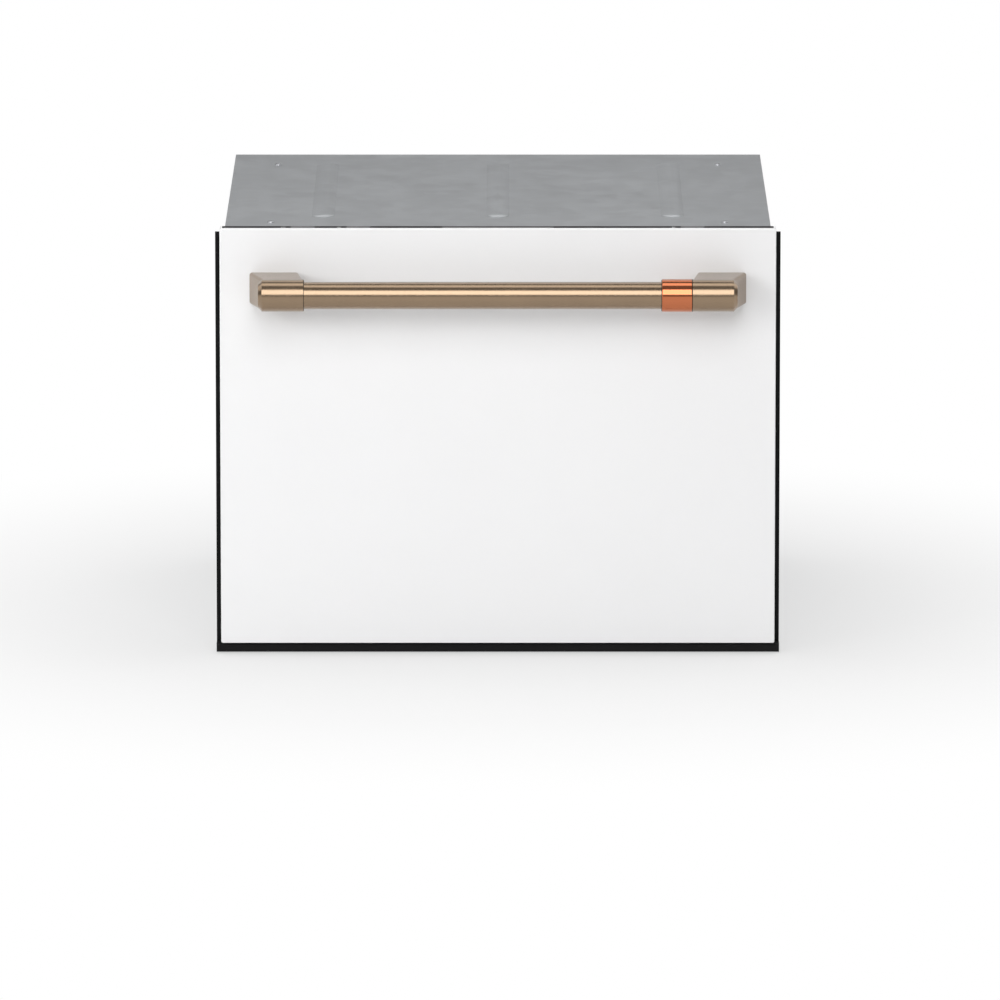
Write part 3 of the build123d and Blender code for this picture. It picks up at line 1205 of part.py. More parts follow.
def cutlery_basket():
    """A slotted basket in bays, with a carrying arch over the middle one."""
    front = RACK_FRONT + BASKET_SETBACK
    floor = LONG_HEIGHT + WIRE + SLIP
    x, y = around(0, BASKET_WIDTH), (front, front + BASKET_DEPTH)
    z = (floor, floor + BASKET_HEIGHT)
    basket = fillet(block(x, y, z).edges().filter_by(Axis.Z), BASKET_CORNER)
    bay = (BASKET_WIDTH - BASKET_WALL) / BASKET_BAYS
    inside = (y[0] + BASKET_WALL, y[1] - BASKET_WALL)
    for i in range(BASKET_BAYS):
        low = x[0] + BASKET_WALL + i * bay
        hollow = block((low, low + bay - BASKET_WALL), inside, (z[0] + BASKET_WALL, z[1] + SLIP))
        basket -= fillet(hollow.edges().filter_by(Axis.Z), BASKET_CORNER - BASKET_WALL)
    gap = (BASKET_HEIGHT - BASKET_SLOT_ROWS * BASKET_SLOT_HEIGHT) / (BASKET_SLOT_ROWS + 1)
    cuts = []
    for row in range(BASKET_SLOT_ROWS):
        low = z[0] + gap + row * (BASKET_SLOT_HEIGHT + gap)
        for column in range(BASKET_SLOT_COLUMNS):
            centre = x[0] + BASKET_WIDTH * (column + 0.5) / BASKET_SLOT_COLUMNS
            cuts.append(block(around(centre, BASKET_SLOT_WIDTH), past(y), (low, low + BASKET_SLOT_HEIGHT)))
    arch_z = (z[1] - ARCH_WIDTH / 2, z[1])
    arch_x = around(0, bay)
    arch_gap = (y[0] + ARCH_WIDTH, y[1] - ARCH_WIDTH)
    arch = block(arch_x, y, arch_z) - block(past(arch_x), arch_gap, past(arch_z))
    bow_z = (arch_z[0], z[1] + ARCH_RISE)
    bow = block(arch_x, around(front + BASKET_DEPTH / 2, ARCH_WIDTH), bow_z)
    bow -= block(around(0, bay - 2 * ARCH_WIDTH), y, (bow_z[0] - SLIP, bow_z[1] - ARCH_WIDTH))
    return basket - cuts + arch + bow


# Nodes

def nodes():
    """Every sub-part by the name of its node."""
    right_wall = side_panel()
    made = {
        "base_tray": base_tray(),
        "left_side_panel": mirrored(right_wall),
        "right_side_panel": right_wall,
        "top_panel": block((-WALL, WALL), (CHASSIS_FRONT, CHASSIS_BACK), (CEILING, CHASSIS_TOP)),
        "back_panel": back_panel(),
        "rest_pads": rest_pads(),
        "edge_trims": edge_trims(),
        "lower_trim": lower_trim(),
        "inlet_valve": inlet_valve(),
        "drain_outlet": drain_outlet(),
        "power_gland": power_gland(),
        "outer_runners": outer_runners(),
        "middle_runners": middle_runners(),
        "inner_runners": inner_runners(),
        "outer_ball_cages": ball_cages(MIDDLE_HALF),
        "inner_ball_cages": ball_cages(INNER_HALF),
        "lid_panel": lid_panel(),
        "lid_guide_pins": lid_guide_pins(),
        "lid_racks": lid_racks(),
        "lid_actuators": lid_actuators(),
        "left_pinion": pinion(-1),
        "right_pinion": pinion(1),
        "front_skin": front_skin(),
        "front_frame": front_frame(),
        "front_back_cover": front_back_cover(),
        "handle_posts": handle_posts(),
        "handle_bar": handle_bar(),
        "handle_band": handle_band(),
        "handle_screws": handle_screws(),
        "control_strip": control_strip(),
        "display_window": display_window(),
        "control_module": control_module(),
        "dispenser_housing": dispenser_housing(),
        "dispenser_door": dispenser_door(),
        "rinse_cap": rinse_cap(),
        "tub": tub(),
        "tub_gasket": tub_gasket(),
        "sump": sump(),
        "shaft_seal": shaft_seal(),
        "motor_housing": motor_housing(),
        "stator": stator(),
        "rotor": rotor(),
        "heater_ring": heater_ring(),
        "filter_plate": filter_plate(),
        "drain_filter": drain_filter(),
        "spray_arm": spray_arm(),
        "rack_floor": rack_floor(),
        "rack_sides": rack_sides(),
        "rack_ends": rack_ends(),
        "fixed_tines": fixed_tines(),
        "tine_clips": tine_clips(),
        "left_fold_tines": mirrored(tine_row(FOLD_WIRE)),
        "right_fold_tines": tine_row(FOLD_WIRE),
        "left_cup_rack": cup_rack(-1),
        "right_cup_rack": cup_rack(1),
        "cutlery_basket": cutlery_basket(),
    }
    for name, x in BUTTON_PLACES.items():
        made[name] = button(x)
    return made


def export_nodes():
    """Writes one file for each node, with the origin at the bottom centre of the overall box."""
    os.makedirs("parts", exist_ok=True)
    for name, shape in nodes().items():
        export_step(Pos(0, FACE_Y, 0) * shape, os.path.join("parts", name + ".step"))


if __name__ == "__main__":
    export_nodes()
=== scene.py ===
"""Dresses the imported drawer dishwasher: finishes, pressed and screwed details, studio and camera.

Everything is in metres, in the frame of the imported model: X to the machine's right seen from the
front, Y from the drawer front to the back, Z up from the surface that the machine stands on.
"""

from __future__ import annotations

import json
import logging
import math
from contextlib import contextmanager
from dataclasses import dataclass
from enum import Enum
from typing import Callable, Iterable, Iterator, Mapping, Union

import bmesh
import bpy
from mathutils import Matrix, Vector

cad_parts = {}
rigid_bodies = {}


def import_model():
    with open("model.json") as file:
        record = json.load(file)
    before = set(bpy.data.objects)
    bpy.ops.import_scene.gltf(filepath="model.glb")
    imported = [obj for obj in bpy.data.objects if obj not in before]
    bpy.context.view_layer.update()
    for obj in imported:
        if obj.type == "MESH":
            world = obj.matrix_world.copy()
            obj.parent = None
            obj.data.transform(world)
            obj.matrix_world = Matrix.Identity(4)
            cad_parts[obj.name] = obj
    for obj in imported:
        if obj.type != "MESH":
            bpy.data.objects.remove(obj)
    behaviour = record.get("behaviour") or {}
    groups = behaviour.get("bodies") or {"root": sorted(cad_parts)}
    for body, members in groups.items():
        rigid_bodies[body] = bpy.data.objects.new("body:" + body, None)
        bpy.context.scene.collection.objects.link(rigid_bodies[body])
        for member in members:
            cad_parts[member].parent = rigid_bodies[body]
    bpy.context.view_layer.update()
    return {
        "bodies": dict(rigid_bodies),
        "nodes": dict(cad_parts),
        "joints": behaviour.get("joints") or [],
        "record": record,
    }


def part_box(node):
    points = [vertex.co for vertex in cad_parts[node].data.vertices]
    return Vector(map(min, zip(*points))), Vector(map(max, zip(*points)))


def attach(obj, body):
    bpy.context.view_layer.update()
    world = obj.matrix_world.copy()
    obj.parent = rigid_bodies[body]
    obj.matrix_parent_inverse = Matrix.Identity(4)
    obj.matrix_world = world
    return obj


LOG = logging.getLogger("dishwasher")
MERGE_DISTANCE = 0.000001
# The share of a length or a normal that counts as the whole of it, loosely and closely.
MOSTLY, NEARLY = 0.9, 0.999
# How far the corners of a printed line are rounded, as a share of its width.
LINE_ROUNDING = 0.4
RIGHT, LEFT, BACK, UP = (1, 0, 0), (-1, 0, 0), (0, 1, 0), (0, 0, 1)

Colour = tuple[float, float, float]
Place = tuple[float, float, float]
Pair = tuple[float, float]


class Slot(str, Enum):
    """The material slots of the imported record."""

    WHITE_PAINT = "white_paint"
    BRONZE = "bronze"
    COPPER = "copper"
    BLACK_RUBBER = "black_rubber"
    BLACK_PLASTIC = "black_plastic"
    GREY_PLASTIC = "grey_plastic"
    BLUE_PLASTIC = "blue_plastic"
    SERVICE_PLASTIC = "service_plastic"
    BUTTON_PLASTIC = "button_plastic"
    DISPLAY_GLASS = "display_glass"
    ZINC_STEEL = "zinc_steel"
    RUNNER_STEEL = "runner_steel"
    STAINLESS = "stainless"
    IRON = "iron"
    COATED_WIRE = "coated_wire"


class Axis(Enum):
    """One of the object's own axes."""

    X = 0
    Y = 1
    Z = 2


class Part(Enum):
    """What is selected in edit mode, by its name in an edit mesh."""

    FACE = "faces"
    EDGE = "edges"


class Wire:
    """One output of a material's nodes, which takes part in Python expressions."""

    def __init__(self, tree: bpy.types.NodeTree, socket: bpy.types.NodeSocket) -> None:
        """Keeps the output and the tree that it is in.

        Args:
            tree: The node tree.
            socket: The output that this wire carries.
        """
        self.tree = tree
        self.socket = socket

    def worked(self, operation: str, first: Operand, second: Operand) -> Wire:
        """Adds a Math node.

        Args:
            operation: The Math node's operation.
            first: Its first value.
            second: Its second value.

        Returns:
            The node's result.
        """
        return NodeBench(self.tree).node("ShaderNodeMath", {"operation": operation}, {0: first, 1: second})

    def __add__(self, other: Operand) -> Wire:
        """This value plus another."""
        return self.worked("ADD", self, other)

    def __sub__(self, other: Operand) -> Wire:
        """This value less another."""
        return self.worked("SUBTRACT", self, other)

    def __rsub__(self, other: Operand) -> Wire:
        """Another value less this one."""
        return self.worked("SUBTRACT", other, self)

    def __mul__(self, other: Operand) -> Wire:
        """This value times another."""
        return self.worked("MULTIPLY", self, other)

    def __gt__(self, other: Operand) -> Wire:
        """1 where this value is above another, and 0 elsewhere."""
        return self.worked("GREATER_THAN", self, other)

    __radd__ = __add__
    __rmul__ = __mul__


Operand = Union[Wire, float]
Value = Union[Wire, float, tuple]
Weave = tuple[Wire, Wire, Union[Wire, None]]


@dataclass(frozen=True)
class Grain:
    """The settings of a noise texture.

    Attributes:
        scale: Features per metre.
        detail: How many finer layers it has.
        strength: How strong those are.
    """

    scale: float
    detail: float = 2.0
    strength: float = 0.5


class NodeBench:
    """The nodes of one material or of the world."""

    def __init__(self, tree: bpy.types.NodeTree) -> None:
        """Keeps the tree that the nodes go into.

        Args:
            tree: The node tree.
        """
        self.tree = tree

    def node(
        self,
        kind: str,
        settings: Mapping[str, str] | None = None,
        sockets: Mapping[str | int, Value] | None = None,
        out: str | int = 0,
    ) -> Wire:
        """Adds any node.

        Args:
            kind: The node's type.
            settings: Its properties, set first.
            sockets: Values or wires for its inputs.
            out: The output that is wanted.

        Returns:
            That output.
        """
        node = self.tree.nodes.new(kind)
        for name, value in (settings or {}).items():
            setattr(node, name, value)
        self.feed(node, sockets or {})
        return Wire(self.tree, node.outputs[out])

    def feed(self, node: bpy.types.Node, sockets: Mapping[str | int, Value]) -> None:
        """Gives a node's inputs their values or their wires.

        Args:
            node: The node.
            sockets: A wire, a number, a vector or a colour of three numbers for each input.
        """
        for name, value in sockets.items():
            socket = node.inputs[name]
            if isinstance(value, Wire):
                self.tree.links.new(value.socket, socket)
            elif socket.type == "RGBA":
                socket.default_value = (*value, 1.0)
            else:
                socket.default_value = value

    def noise(self, place: Wire, grain: Grain) -> Wire:
        """Adds a noise texture.

        Args:
            place: The coordinates.
            grain: The noise's settings.

        Returns:
            The noise, about 0 to 1.
        """
        sockets = {"Vector": place, "Scale": grain.scale, "Detail": grain.detail,
                   "Roughness": grain.strength}
        return self.node("ShaderNodeTexNoise", {"noise_dimensions": "3D"}, sockets)

    def object_place(self, stretch: Place = (1.0, 1.0, 1.0)) -> Wire:
        """Adds the object's own coordinates.

        Args:
            stretch: How much each axis is packed.

        Returns:
            The coordinates, in metres times the stretch.
        """
        place = self.node("ShaderNodeTexCoord", out="Object")
        return self.node("ShaderNodeMapping", sockets={"Vector": place, "Scale": stretch})

    def along(self, axis: Axis) -> Wire:
        """Adds one of the object's own coordinates, in metres."""
        place = self.node("ShaderNodeTexCoord", out="Object")
        return self.node("ShaderNodeSeparateXYZ", sockets={"Vector": place}, out=axis.value)

    def blended(self, share: Operand, first: Value, second: Value) -> Wire:
        """Adds a colour mix.

        Args:
            share: How much of the second colour shows.
            first: The colour at 0.
            second: The colour at 1.

        Returns:
            The mixed colour.
        """
        sockets = {0: share, 6: first, 7: second}
        return self.node("ShaderNodeMix", {"data_type": "RGBA"}, sockets, out=2)

    def eased(self, value: Wire, low: float, high: float) -> Wire:
        """Adds a smooth step.

        Args:
            value: The value that is stepped.
            low: Where the step starts.
            high: Where it is done.

        Returns:
            0 below the low end, 1 above the high end, and smooth between.
        """
        sockets = {"Value": value, "From Min": low, "From Max": high}
        return self.node("ShaderNodeMapRange", {"interpolation_type": "SMOOTHSTEP"}, sockets)

    def wave(self, place: Wire, pitch: float) -> Wire:
        """Adds a sine wave.

        Args:
            place: The coordinate that it runs along.
            pitch: Its length, in metres.

        Returns:
            The wave, from 0 to 1.
        """
        swing = place.worked("SINE", place * (2.0 * math.pi / pitch), 0.0)
        return swing * 0.5 + 0.5

    def bumped(self, height: Wire, depth: float) -> Wire:
        """Adds a bump.

        Args:
            height: The relief, about 0 to 1.
            depth: How far that stands, in metres.

        Returns:
            The bent normal.
        """
        return self.node("ShaderNodeBump", sockets={"Height": height, "Distance": depth})


def tinted(colour: Colour, factor: float) -> Colour:
    """A colour made lighter or darker by a factor."""
    return tuple(min(channel * factor, 1.0) for channel in colour)


def drifting(share: float) -> Pair:
    """The shades of a colour that drifts by a share to both sides."""
    return 1.0 - share, 1.0 + share


@dataclass(frozen=True)
class Finish:
    """A finish whose colour, gloss and relief vary.

    Attributes:
        name: The material's name.
        colour: The base colour, linear.
        roughness: The mean roughness.
        tone: The noise that the colour follows.
        shades: What the colour is multiplied by where the tone is 0 and where it is 1.
        spread: How far apart the lowest and the highest roughness are.
        gloss: The noise that the roughness follows, where it isn't the tone.
        relief: The noise that the relief follows, where there is one.
        depth: How deep the relief is, in metres.
        metallic: The share of metal.
        shine: The specular level.
        coat: The weight of the clear coat over it.
        coat_roughness: The roughness of that coat.
    """

    name: str
    colour: Colour
    roughness: float
    tone: Grain
    shades: Pair
    spread: float
    gloss: Grain | None = None
    relief: Grain | None = None
    depth: float = 0.0
    metallic: float = 0.0
    shine: float = 0.5
    coat: float = 0.0
    coat_roughness: float = 0.03

    def weave(self, bench: NodeBench) -> Weave:
        """Adds what the finish varies with.

        Args:
            bench: The material's nodes.

        Returns:
            The tone, the gloss and, where there is one, the relief, each about 0 to 1.
        """
        place = bench.object_place()
        tone = bench.noise(place, self.tone)
        gloss = bench.noise(place, self.gloss) if self.gloss else tone
        return tone, gloss, bench.noise(place, self.relief) if self.relief else None

    def ends(self) -> tuple[Colour, Colour]:
        """The colours where the tone is 0 and where it is 1."""
        return tinted(self.colour, self.shades[0]), tinted(self.colour, self.shades[1])

    def material(self) -> bpy.types.Material:
        """Makes the finish's material the first time it is asked for.

        Returns:
            The material.
        """
        made = bpy.data.materials.get(self.name)
        if made is None:
            made = bpy.data.materials.new(self.name)
            made.use_nodes = True
            bench = NodeBench(made.node_tree)
            tone, gloss, relief = self.weave(bench)
            sockets = {
                "Base Color": bench.blended(tone, *self.ends()),
                "Roughness": self.roughness - self.spread / 2 + gloss * self.spread,
                "Metallic": self.metallic,
                "Specular IOR Level": self.shine,
                "Coat Weight": self.coat,
                "Coat Roughness": self.coat_roughness,
            }
            if relief is not None:
                sockets["Normal"] = bench.bumped(relief, self.depth)
            bench.feed(made.node_tree.nodes["Principled BSDF"], sockets)
        return made


@dataclass(frozen=True)
class Enamel(Finish):
    """A baked enamel coat: drifting white, a broken gloss and a faint orange peel."""

    tone: Grain = Grain(5.0, 3.0)
    shades: Pair = (0.985, 1.015)
    spread: float = 0.1
    gloss: Grain | None = Grain(90.0, 4.0, 0.6)
    relief: Grain | None = Grain(420.0, 2.0, 0.4)
    depth: float = 0.00006
    shine: float = 0.4


@dataclass(frozen=True)
class MouldedPlastic(Finish):
    """Injection-moulded plastic: flow marks, rub marks and a spark-eroded grain."""

    tone: Grain = Grain(11.0, 4.0, 0.55)
    shades: Pair = drifting(0.05)
    spread: float = 0.16
    gloss: Grain | None = Grain(75.0, 4.0, 0.7)
    relief: Grain | None = Grain(1500.0, 1.0)
    depth: float = 0.00003
    coat_roughness: float = 0.12


@dataclass(frozen=True)
class DippedWire(Finish):
    """Steel wire under a dipped nylon coat with thick and thin places."""

    tone: Grain = Grain(140.0, 3.0, 0.55)
    shades: Pair = (0.93, 1.05)
    spread: float = 0.12
    gloss: Grain | None = Grain(900.0)
    relief: Grain | None = Grain(140.0, 3.0, 0.55)
    depth: float = 0.0001
    coat: float = 0.25
    coat_roughness: float = 0.2


@dataclass(frozen=True)
class BrushedMetal(Finish):
    """A metal with fine brush marks and a slow drift of colour.

    Attributes:
        across: The axis that the marks run across.
        marks: How many marks there are per metre.
        packing: How closely the marks follow each other along their run, against across it.
        mark_share: How much of the tone the marks make up.
    """

    tone: Grain = Grain(26.0, 4.0, 0.6)
    shades: Pair = drifting(0.12)
    spread: float = 0.1
    relief: Grain | None = Grain(1.0, 3.0, 0.65)
    depth: float = 0.00001
    metallic: float = 1.0
    coat_roughness: float = 0.25
    across: Axis = Axis.X
    marks: float = 2600.0
    packing: float = 0.03
    mark_share: float = 0.35

    def weave(self, bench: NodeBench) -> Weave:
        """Adds the brush marks and mixes them into the drift.

        Args:
            bench: The material's nodes.

        Returns:
            The tone, twice, and the marks.
        """
        packed = [self.marks * self.packing] * 3
        packed[self.across.value] = self.marks
        marks = bench.noise(bench.object_place(tuple(packed)), self.relief)
        drift = bench.noise(bench.object_place(), self.tone)
        tone = drift * (1.0 - self.mark_share) + marks * self.mark_share
        return tone, tone, marks


@dataclass(frozen=True)
class ZincSheet(Finish):
    """Hot-dip zinc on sheet steel, with its spangle under a light film.

    Attributes:
        spangle: How many crystals there are per metre.
        spangle_share: How much of the tone they make up.
        wander: The noise that bends their outlines.
        bend: How far it bends them, in metres.
    """

    tone: Grain = Grain(14.0, 5.0, 0.6)
    shades: Pair = (0.88, 1.1)
    spread: float = 0.12
    metallic: float = 0.85
    spangle: float = 70.0
    spangle_share: float = 0.35
    wander: Grain = Grain(120.0)
    bend: float = 0.006

    def weave(self, bench: NodeBench) -> Weave:
        """Adds crystals of different grey and gloss, and the film over them.

        Args:
            bench: The material's nodes.

        Returns:
            The tone, twice.
        """
        place = bench.object_place()
        wander = bench.noise(place, self.wander)
        shift = bench.node("ShaderNodeCombineXYZ", sockets={0: wander, 1: wander, 2: wander})
        bent = bench.node("ShaderNodeVectorMath", {"operation": "MULTIPLY_ADD"},
                          {0: shift, 1: (self.bend,) * 3, 2: place})
        crystals = bench.node("ShaderNodeTexVoronoi", {"feature": "F1"},
                              {"Vector": bent, "Scale": self.spangle, "Randomness": 1.0}, out="Color")
        grey = bench.node("ShaderNodeSeparateColor", sockets={"Color": crystals})
        film = bench.noise(place, self.tone)
        tone = grey * self.spangle_share + film * (1.0 - self.spangle_share)
        return tone, tone, None


@dataclass(frozen=True)
class LaminatedIron(Finish):
    """Stacked iron sheets, seen on their edges, with patches of oil and rust bloom.

    Attributes:
        sheet: The thickness of one sheet, in metres.
        joint_share: How much of the tone the joints make up.
    """

    tone: Grain = Grain(60.0, 5.0, 0.65)
    shades: Pair = (0.6, 1.3)
    spread: float = 0.2
    depth: float = 0.00008
    metallic: float = 0.8
    sheet: float = 0.0007
    joint_share: float = 0.5

    def weave(self, bench: NodeBench) -> Weave:
        """Adds the bloom and the joints between the sheets.

        Args:
            bench: The material's nodes.

        Returns:
            The tone, the bloom and the joints.
        """
        bloom = super().weave(bench)[0]
        place = bench.object_place((0.0, 0.0, math.pi / self.sheet))
        joints = bench.node("ShaderNodeTexWave", {"wave_type": "BANDS", "bands_direction": "Z"},
                            {"Vector": place, "Scale": 1.0 / math.pi, "Distortion": 0.0}, out="Fac")
        return joints * self.joint_share + bloom * (1.0 - self.joint_share), bloom, joints


@dataclass(frozen=True)
class SoftRubber(Finish):
    """Moulded rubber with a dusty bloom and a fine matt grain.

    Attributes:
        bloom: The colour of the bloom.
        patches: The noise's values between which a patch of bloom fades in.
    """

    tone: Grain = Grain(32.0, 5.0, 0.6)
    shades: Pair = (1.0, 1.0)
    spread: float = 0.14
    relief: Grain | None = Grain(1900.0)
    depth: float = 0.00004
    shine: float = 0.12
    bloom: Colour = (0.009, 0.009, 0.0095)
    patches: Pair = (0.42, 0.72)

    def ends(self) -> tuple[Colour, Colour]:
        """The rubber's own colour and the bloom's."""
        return self.colour, self.bloom

    def weave(self, bench: NodeBench) -> Weave:
        """Adds the bloom in patches, and the grain.

        Args:
            bench: The material's nodes.

        Returns:
            The patches, twice, and the grain.
        """
        haze, _, grain = super().weave(bench)
        patches = bench.eased(haze, *self.patches)
        return patches, patches, grain


@dataclass(frozen=True)
class SmokedWindow(Finish):
    """A dark window with the ghost of its unlit lamps under a clear, smooth skin.

    Attributes:
        pitch: The distance between two lamps, in metres.
        lamp_edge: The height of the wave above which a lamp shows.
    """

    tone: Grain = Grain(55.0, 4.0, 0.6)
    shades: Pair = (1.0, 1.7)
    spread: float = 0.08
    coat: float = 1.0
    pitch: float = 0.0025
    lamp_edge: float = 0.55

    def weave(self, bench: NodeBench) -> Weave:
        """Adds faint squares, and smears to the gloss.

        Args:
            bench: The material's nodes.

        Returns:
            The squares and the smears.
        """
        smears = super().weave(bench)[0]
        columns = bench.wave(bench.along(Axis.X), self.pitch) > self.lamp_edge
        rows = bench.wave(bench.along(Axis.Y), self.pitch) > self.lamp_edge
        return columns * rows, smears, None


@dataclass(frozen=True)
class EmbossedMat(Finish):
    """A heavy deadening mat with a rolled diamond pattern and an oily bloom.

    Attributes:
        pitch: The distance between two diamonds, in metres.
        edge: The heights of the waves between which a diamond rises.
    """

    tone: Grain = Grain(40.0, 5.0, 0.65)
    shades: Pair = (0.75, 1.4)
    spread: float = 0.2
    depth: float = 0.0006
    pitch: float = 0.016
    edge: Pair = (0.25, 0.6)

    def weave(self, bench: NodeBench) -> Weave:
        """Adds the bloom and the rolled diamonds.

        Args:
            bench: The material's nodes.

        Returns:
            The bloom, twice, and the diamonds.
        """
        bloom = super().weave(bench)[0]
        depth, height = bench.along(Axis.Y), bench.along(Axis.Z)
        crossed = bench.wave(depth + height, self.pitch) * bench.wave(depth - height, self.pitch)
        return bloom, bloom, bench.eased(crossed, *self.edge)


SHELF = MouldedPlastic("shelf_moulding", (0.3, 0.325, 0.355), 0.38, shades=drifting(0.06))
FINISHES: dict[Slot, Finish] = {
    Slot.WHITE_PAINT: Enamel("white_enamel", (0.87, 0.87, 0.875), 0.46),
    Slot.BRONZE: BrushedMetal("satin_bronze", (0.282, 0.2, 0.129), 0.22, spread=0.11, coat=0.4),
    Slot.COPPER: BrushedMetal("bright_copper", (0.52, 0.168, 0.078), 0.12,
                              spread=0.06, shades=drifting(0.07)),
    # Nearly black: partly the trims' own black rubber, partly painted shade, darker than lit rubber to
    # stand in for the shade in the gaps beside the drawer front.
    Slot.BLACK_RUBBER: SoftRubber("trim_rubber", (0.0045, 0.0048, 0.005), 0.71),
    Slot.BLACK_PLASTIC: MouldedPlastic("black_moulding", (0.006, 0.006, 0.0065), 0.5,
                                       shades=drifting(0.25), shine=0.16),
    Slot.GREY_PLASTIC: MouldedPlastic("grey_moulding", (0.47, 0.49, 0.51), 0.42),
    Slot.BLUE_PLASTIC: MouldedPlastic("blue_moulding", (0.025, 0.09, 0.3), 0.36, shades=drifting(0.1)),
    Slot.SERVICE_PLASTIC: MouldedPlastic("white_nylon", (0.72, 0.72, 0.69), 0.5),
    Slot.BUTTON_PLASTIC: MouldedPlastic("button_cap", (0.1, 0.1, 0.105), 0.24, coat=0.5),
    Slot.DISPLAY_GLASS: SmokedWindow("smoked_window", (0.006, 0.006, 0.008), 0.14),
    Slot.ZINC_STEEL: ZincSheet("zinc_sheet", (0.5, 0.515, 0.53), 0.42),
    Slot.RUNNER_STEEL: BrushedMetal("bright_zinc", (0.52, 0.53, 0.55), 0.28,
                                    spread=0.14, across=Axis.Z, marks=1800.0),
    Slot.STAINLESS: BrushedMetal("drawn_stainless", (0.56, 0.555, 0.55), 0.26,
                                 spread=0.13, across=Axis.Y, marks=2200.0),
    Slot.IRON: LaminatedIron("laminated_iron", (0.12, 0.115, 0.11), 0.55),
    Slot.COATED_WIRE: DippedWire("nylon_wire", (0.42, 0.45, 0.49), 0.38),
}
NODE_FINISHES: dict[str, Finish] = {
    "tub": MouldedPlastic("tub_moulding", (0.55, 0.56, 0.57), 0.36, shades=drifting(0.04), coat=0.15),
    "lid_panel": MouldedPlastic("lid_moulding", (0.5, 0.51, 0.52), 0.4),
    "spray_arm": MouldedPlastic("arm_moulding", (0.2, 0.22, 0.245), 0.34, shades=drifting(0.08), coat=0.2),
    "left_cup_rack": SHELF,
    "right_cup_rack": SHELF,
    "cutlery_basket": MouldedPlastic("basket_moulding", (0.24, 0.26, 0.285), 0.4, shades=drifting(0.06)),
    "tine_clips": MouldedPlastic("clip_moulding", (0.3, 0.325, 0.355), 0.4, shades=drifting(0.06)),
    "drain_filter": MouldedPlastic("filter_moulding", (0.26, 0.28, 0.3), 0.4, shades=drifting(0.08)),
    "motor_housing": MouldedPlastic("motor_moulding", (0.06, 0.062, 0.066), 0.5, shades=drifting(0.15)),
}
DEADENING_MAT = EmbossedMat("deadening_mat", (0.02, 0.02, 0.021), 0.62)
PRINTED_INK = MouldedPlastic("printed_ink", (0.6, 0.6, 0.6), 0.55,
                             relief=Grain(2600.0, 1.0), depth=0.000005)


@dataclass(frozen=True)
class Assembly:
    """CAD nodes that belong together and get their finishes as one.

    Attributes:
        name: What the makers call it.
        nodes: The CAD nodes in it.
    """

    name: str
    nodes: tuple[str, ...]

    def dress(self, frame: Mapping[str, object]) -> None:
        """Gives each node the finish of its slot.
        """
        slots = {part["node"]: part["material_slot"] for part in frame["record"]["subparts"]}
        for node in self.nodes:
            finish = NODE_FINISHES.get(node, FINISHES[Slot(slots[node])]).material()
            for place in frame["nodes"][node].material_slots:
                place.material = finish
            LOG.info("%s: %s wears %s", self.name, node, finish.name)


ASSEMBLIES = (
    Assembly("shell", ("base_tray", "left_side_panel", "right_side_panel", "top_panel", "back_panel",
                       "rest_pads", "edge_trims", "lower_trim")),
    Assembly("services", ("inlet_valve", "drain_outlet", "power_gland")),
    Assembly("slides", ("outer_runners", "middle_runners", "inner_runners", "outer_ball_cages",
                        "inner_ball_cages")),
    Assembly("lid", ("lid_panel", "lid_guide_pins", "lid_racks", "lid_actuators", "left_pinion",
                     "right_pinion")),
    Assembly("drawer front", ("front_skin", "front_frame", "front_back_cover")),
    Assembly("handle", ("handle_posts", "handle_bar", "handle_band", "handle_screws")),
    Assembly("controls", ("control_strip", "display_window", "control_module", "power_button",
                          "cycle_button", "start_button")),
    Assembly("dispenser", ("dispenser_housing", "dispenser_door", "rinse_cap")),
    Assembly("tub", ("tub", "tub_gasket", "sump", "heater_ring", "filter_plate", "drain_filter",
                     "spray_arm")),
    Assembly("wash motor", ("shaft_seal", "motor_housing", "stator", "rotor")),
    Assembly("racks", ("rack_floor", "rack_sides", "rack_ends", "fixed_tines", "tine_clips",
                       "left_fold_tines", "right_fold_tines", "left_cup_rack", "right_cup_rack",
                       "cutlery_basket")),
)


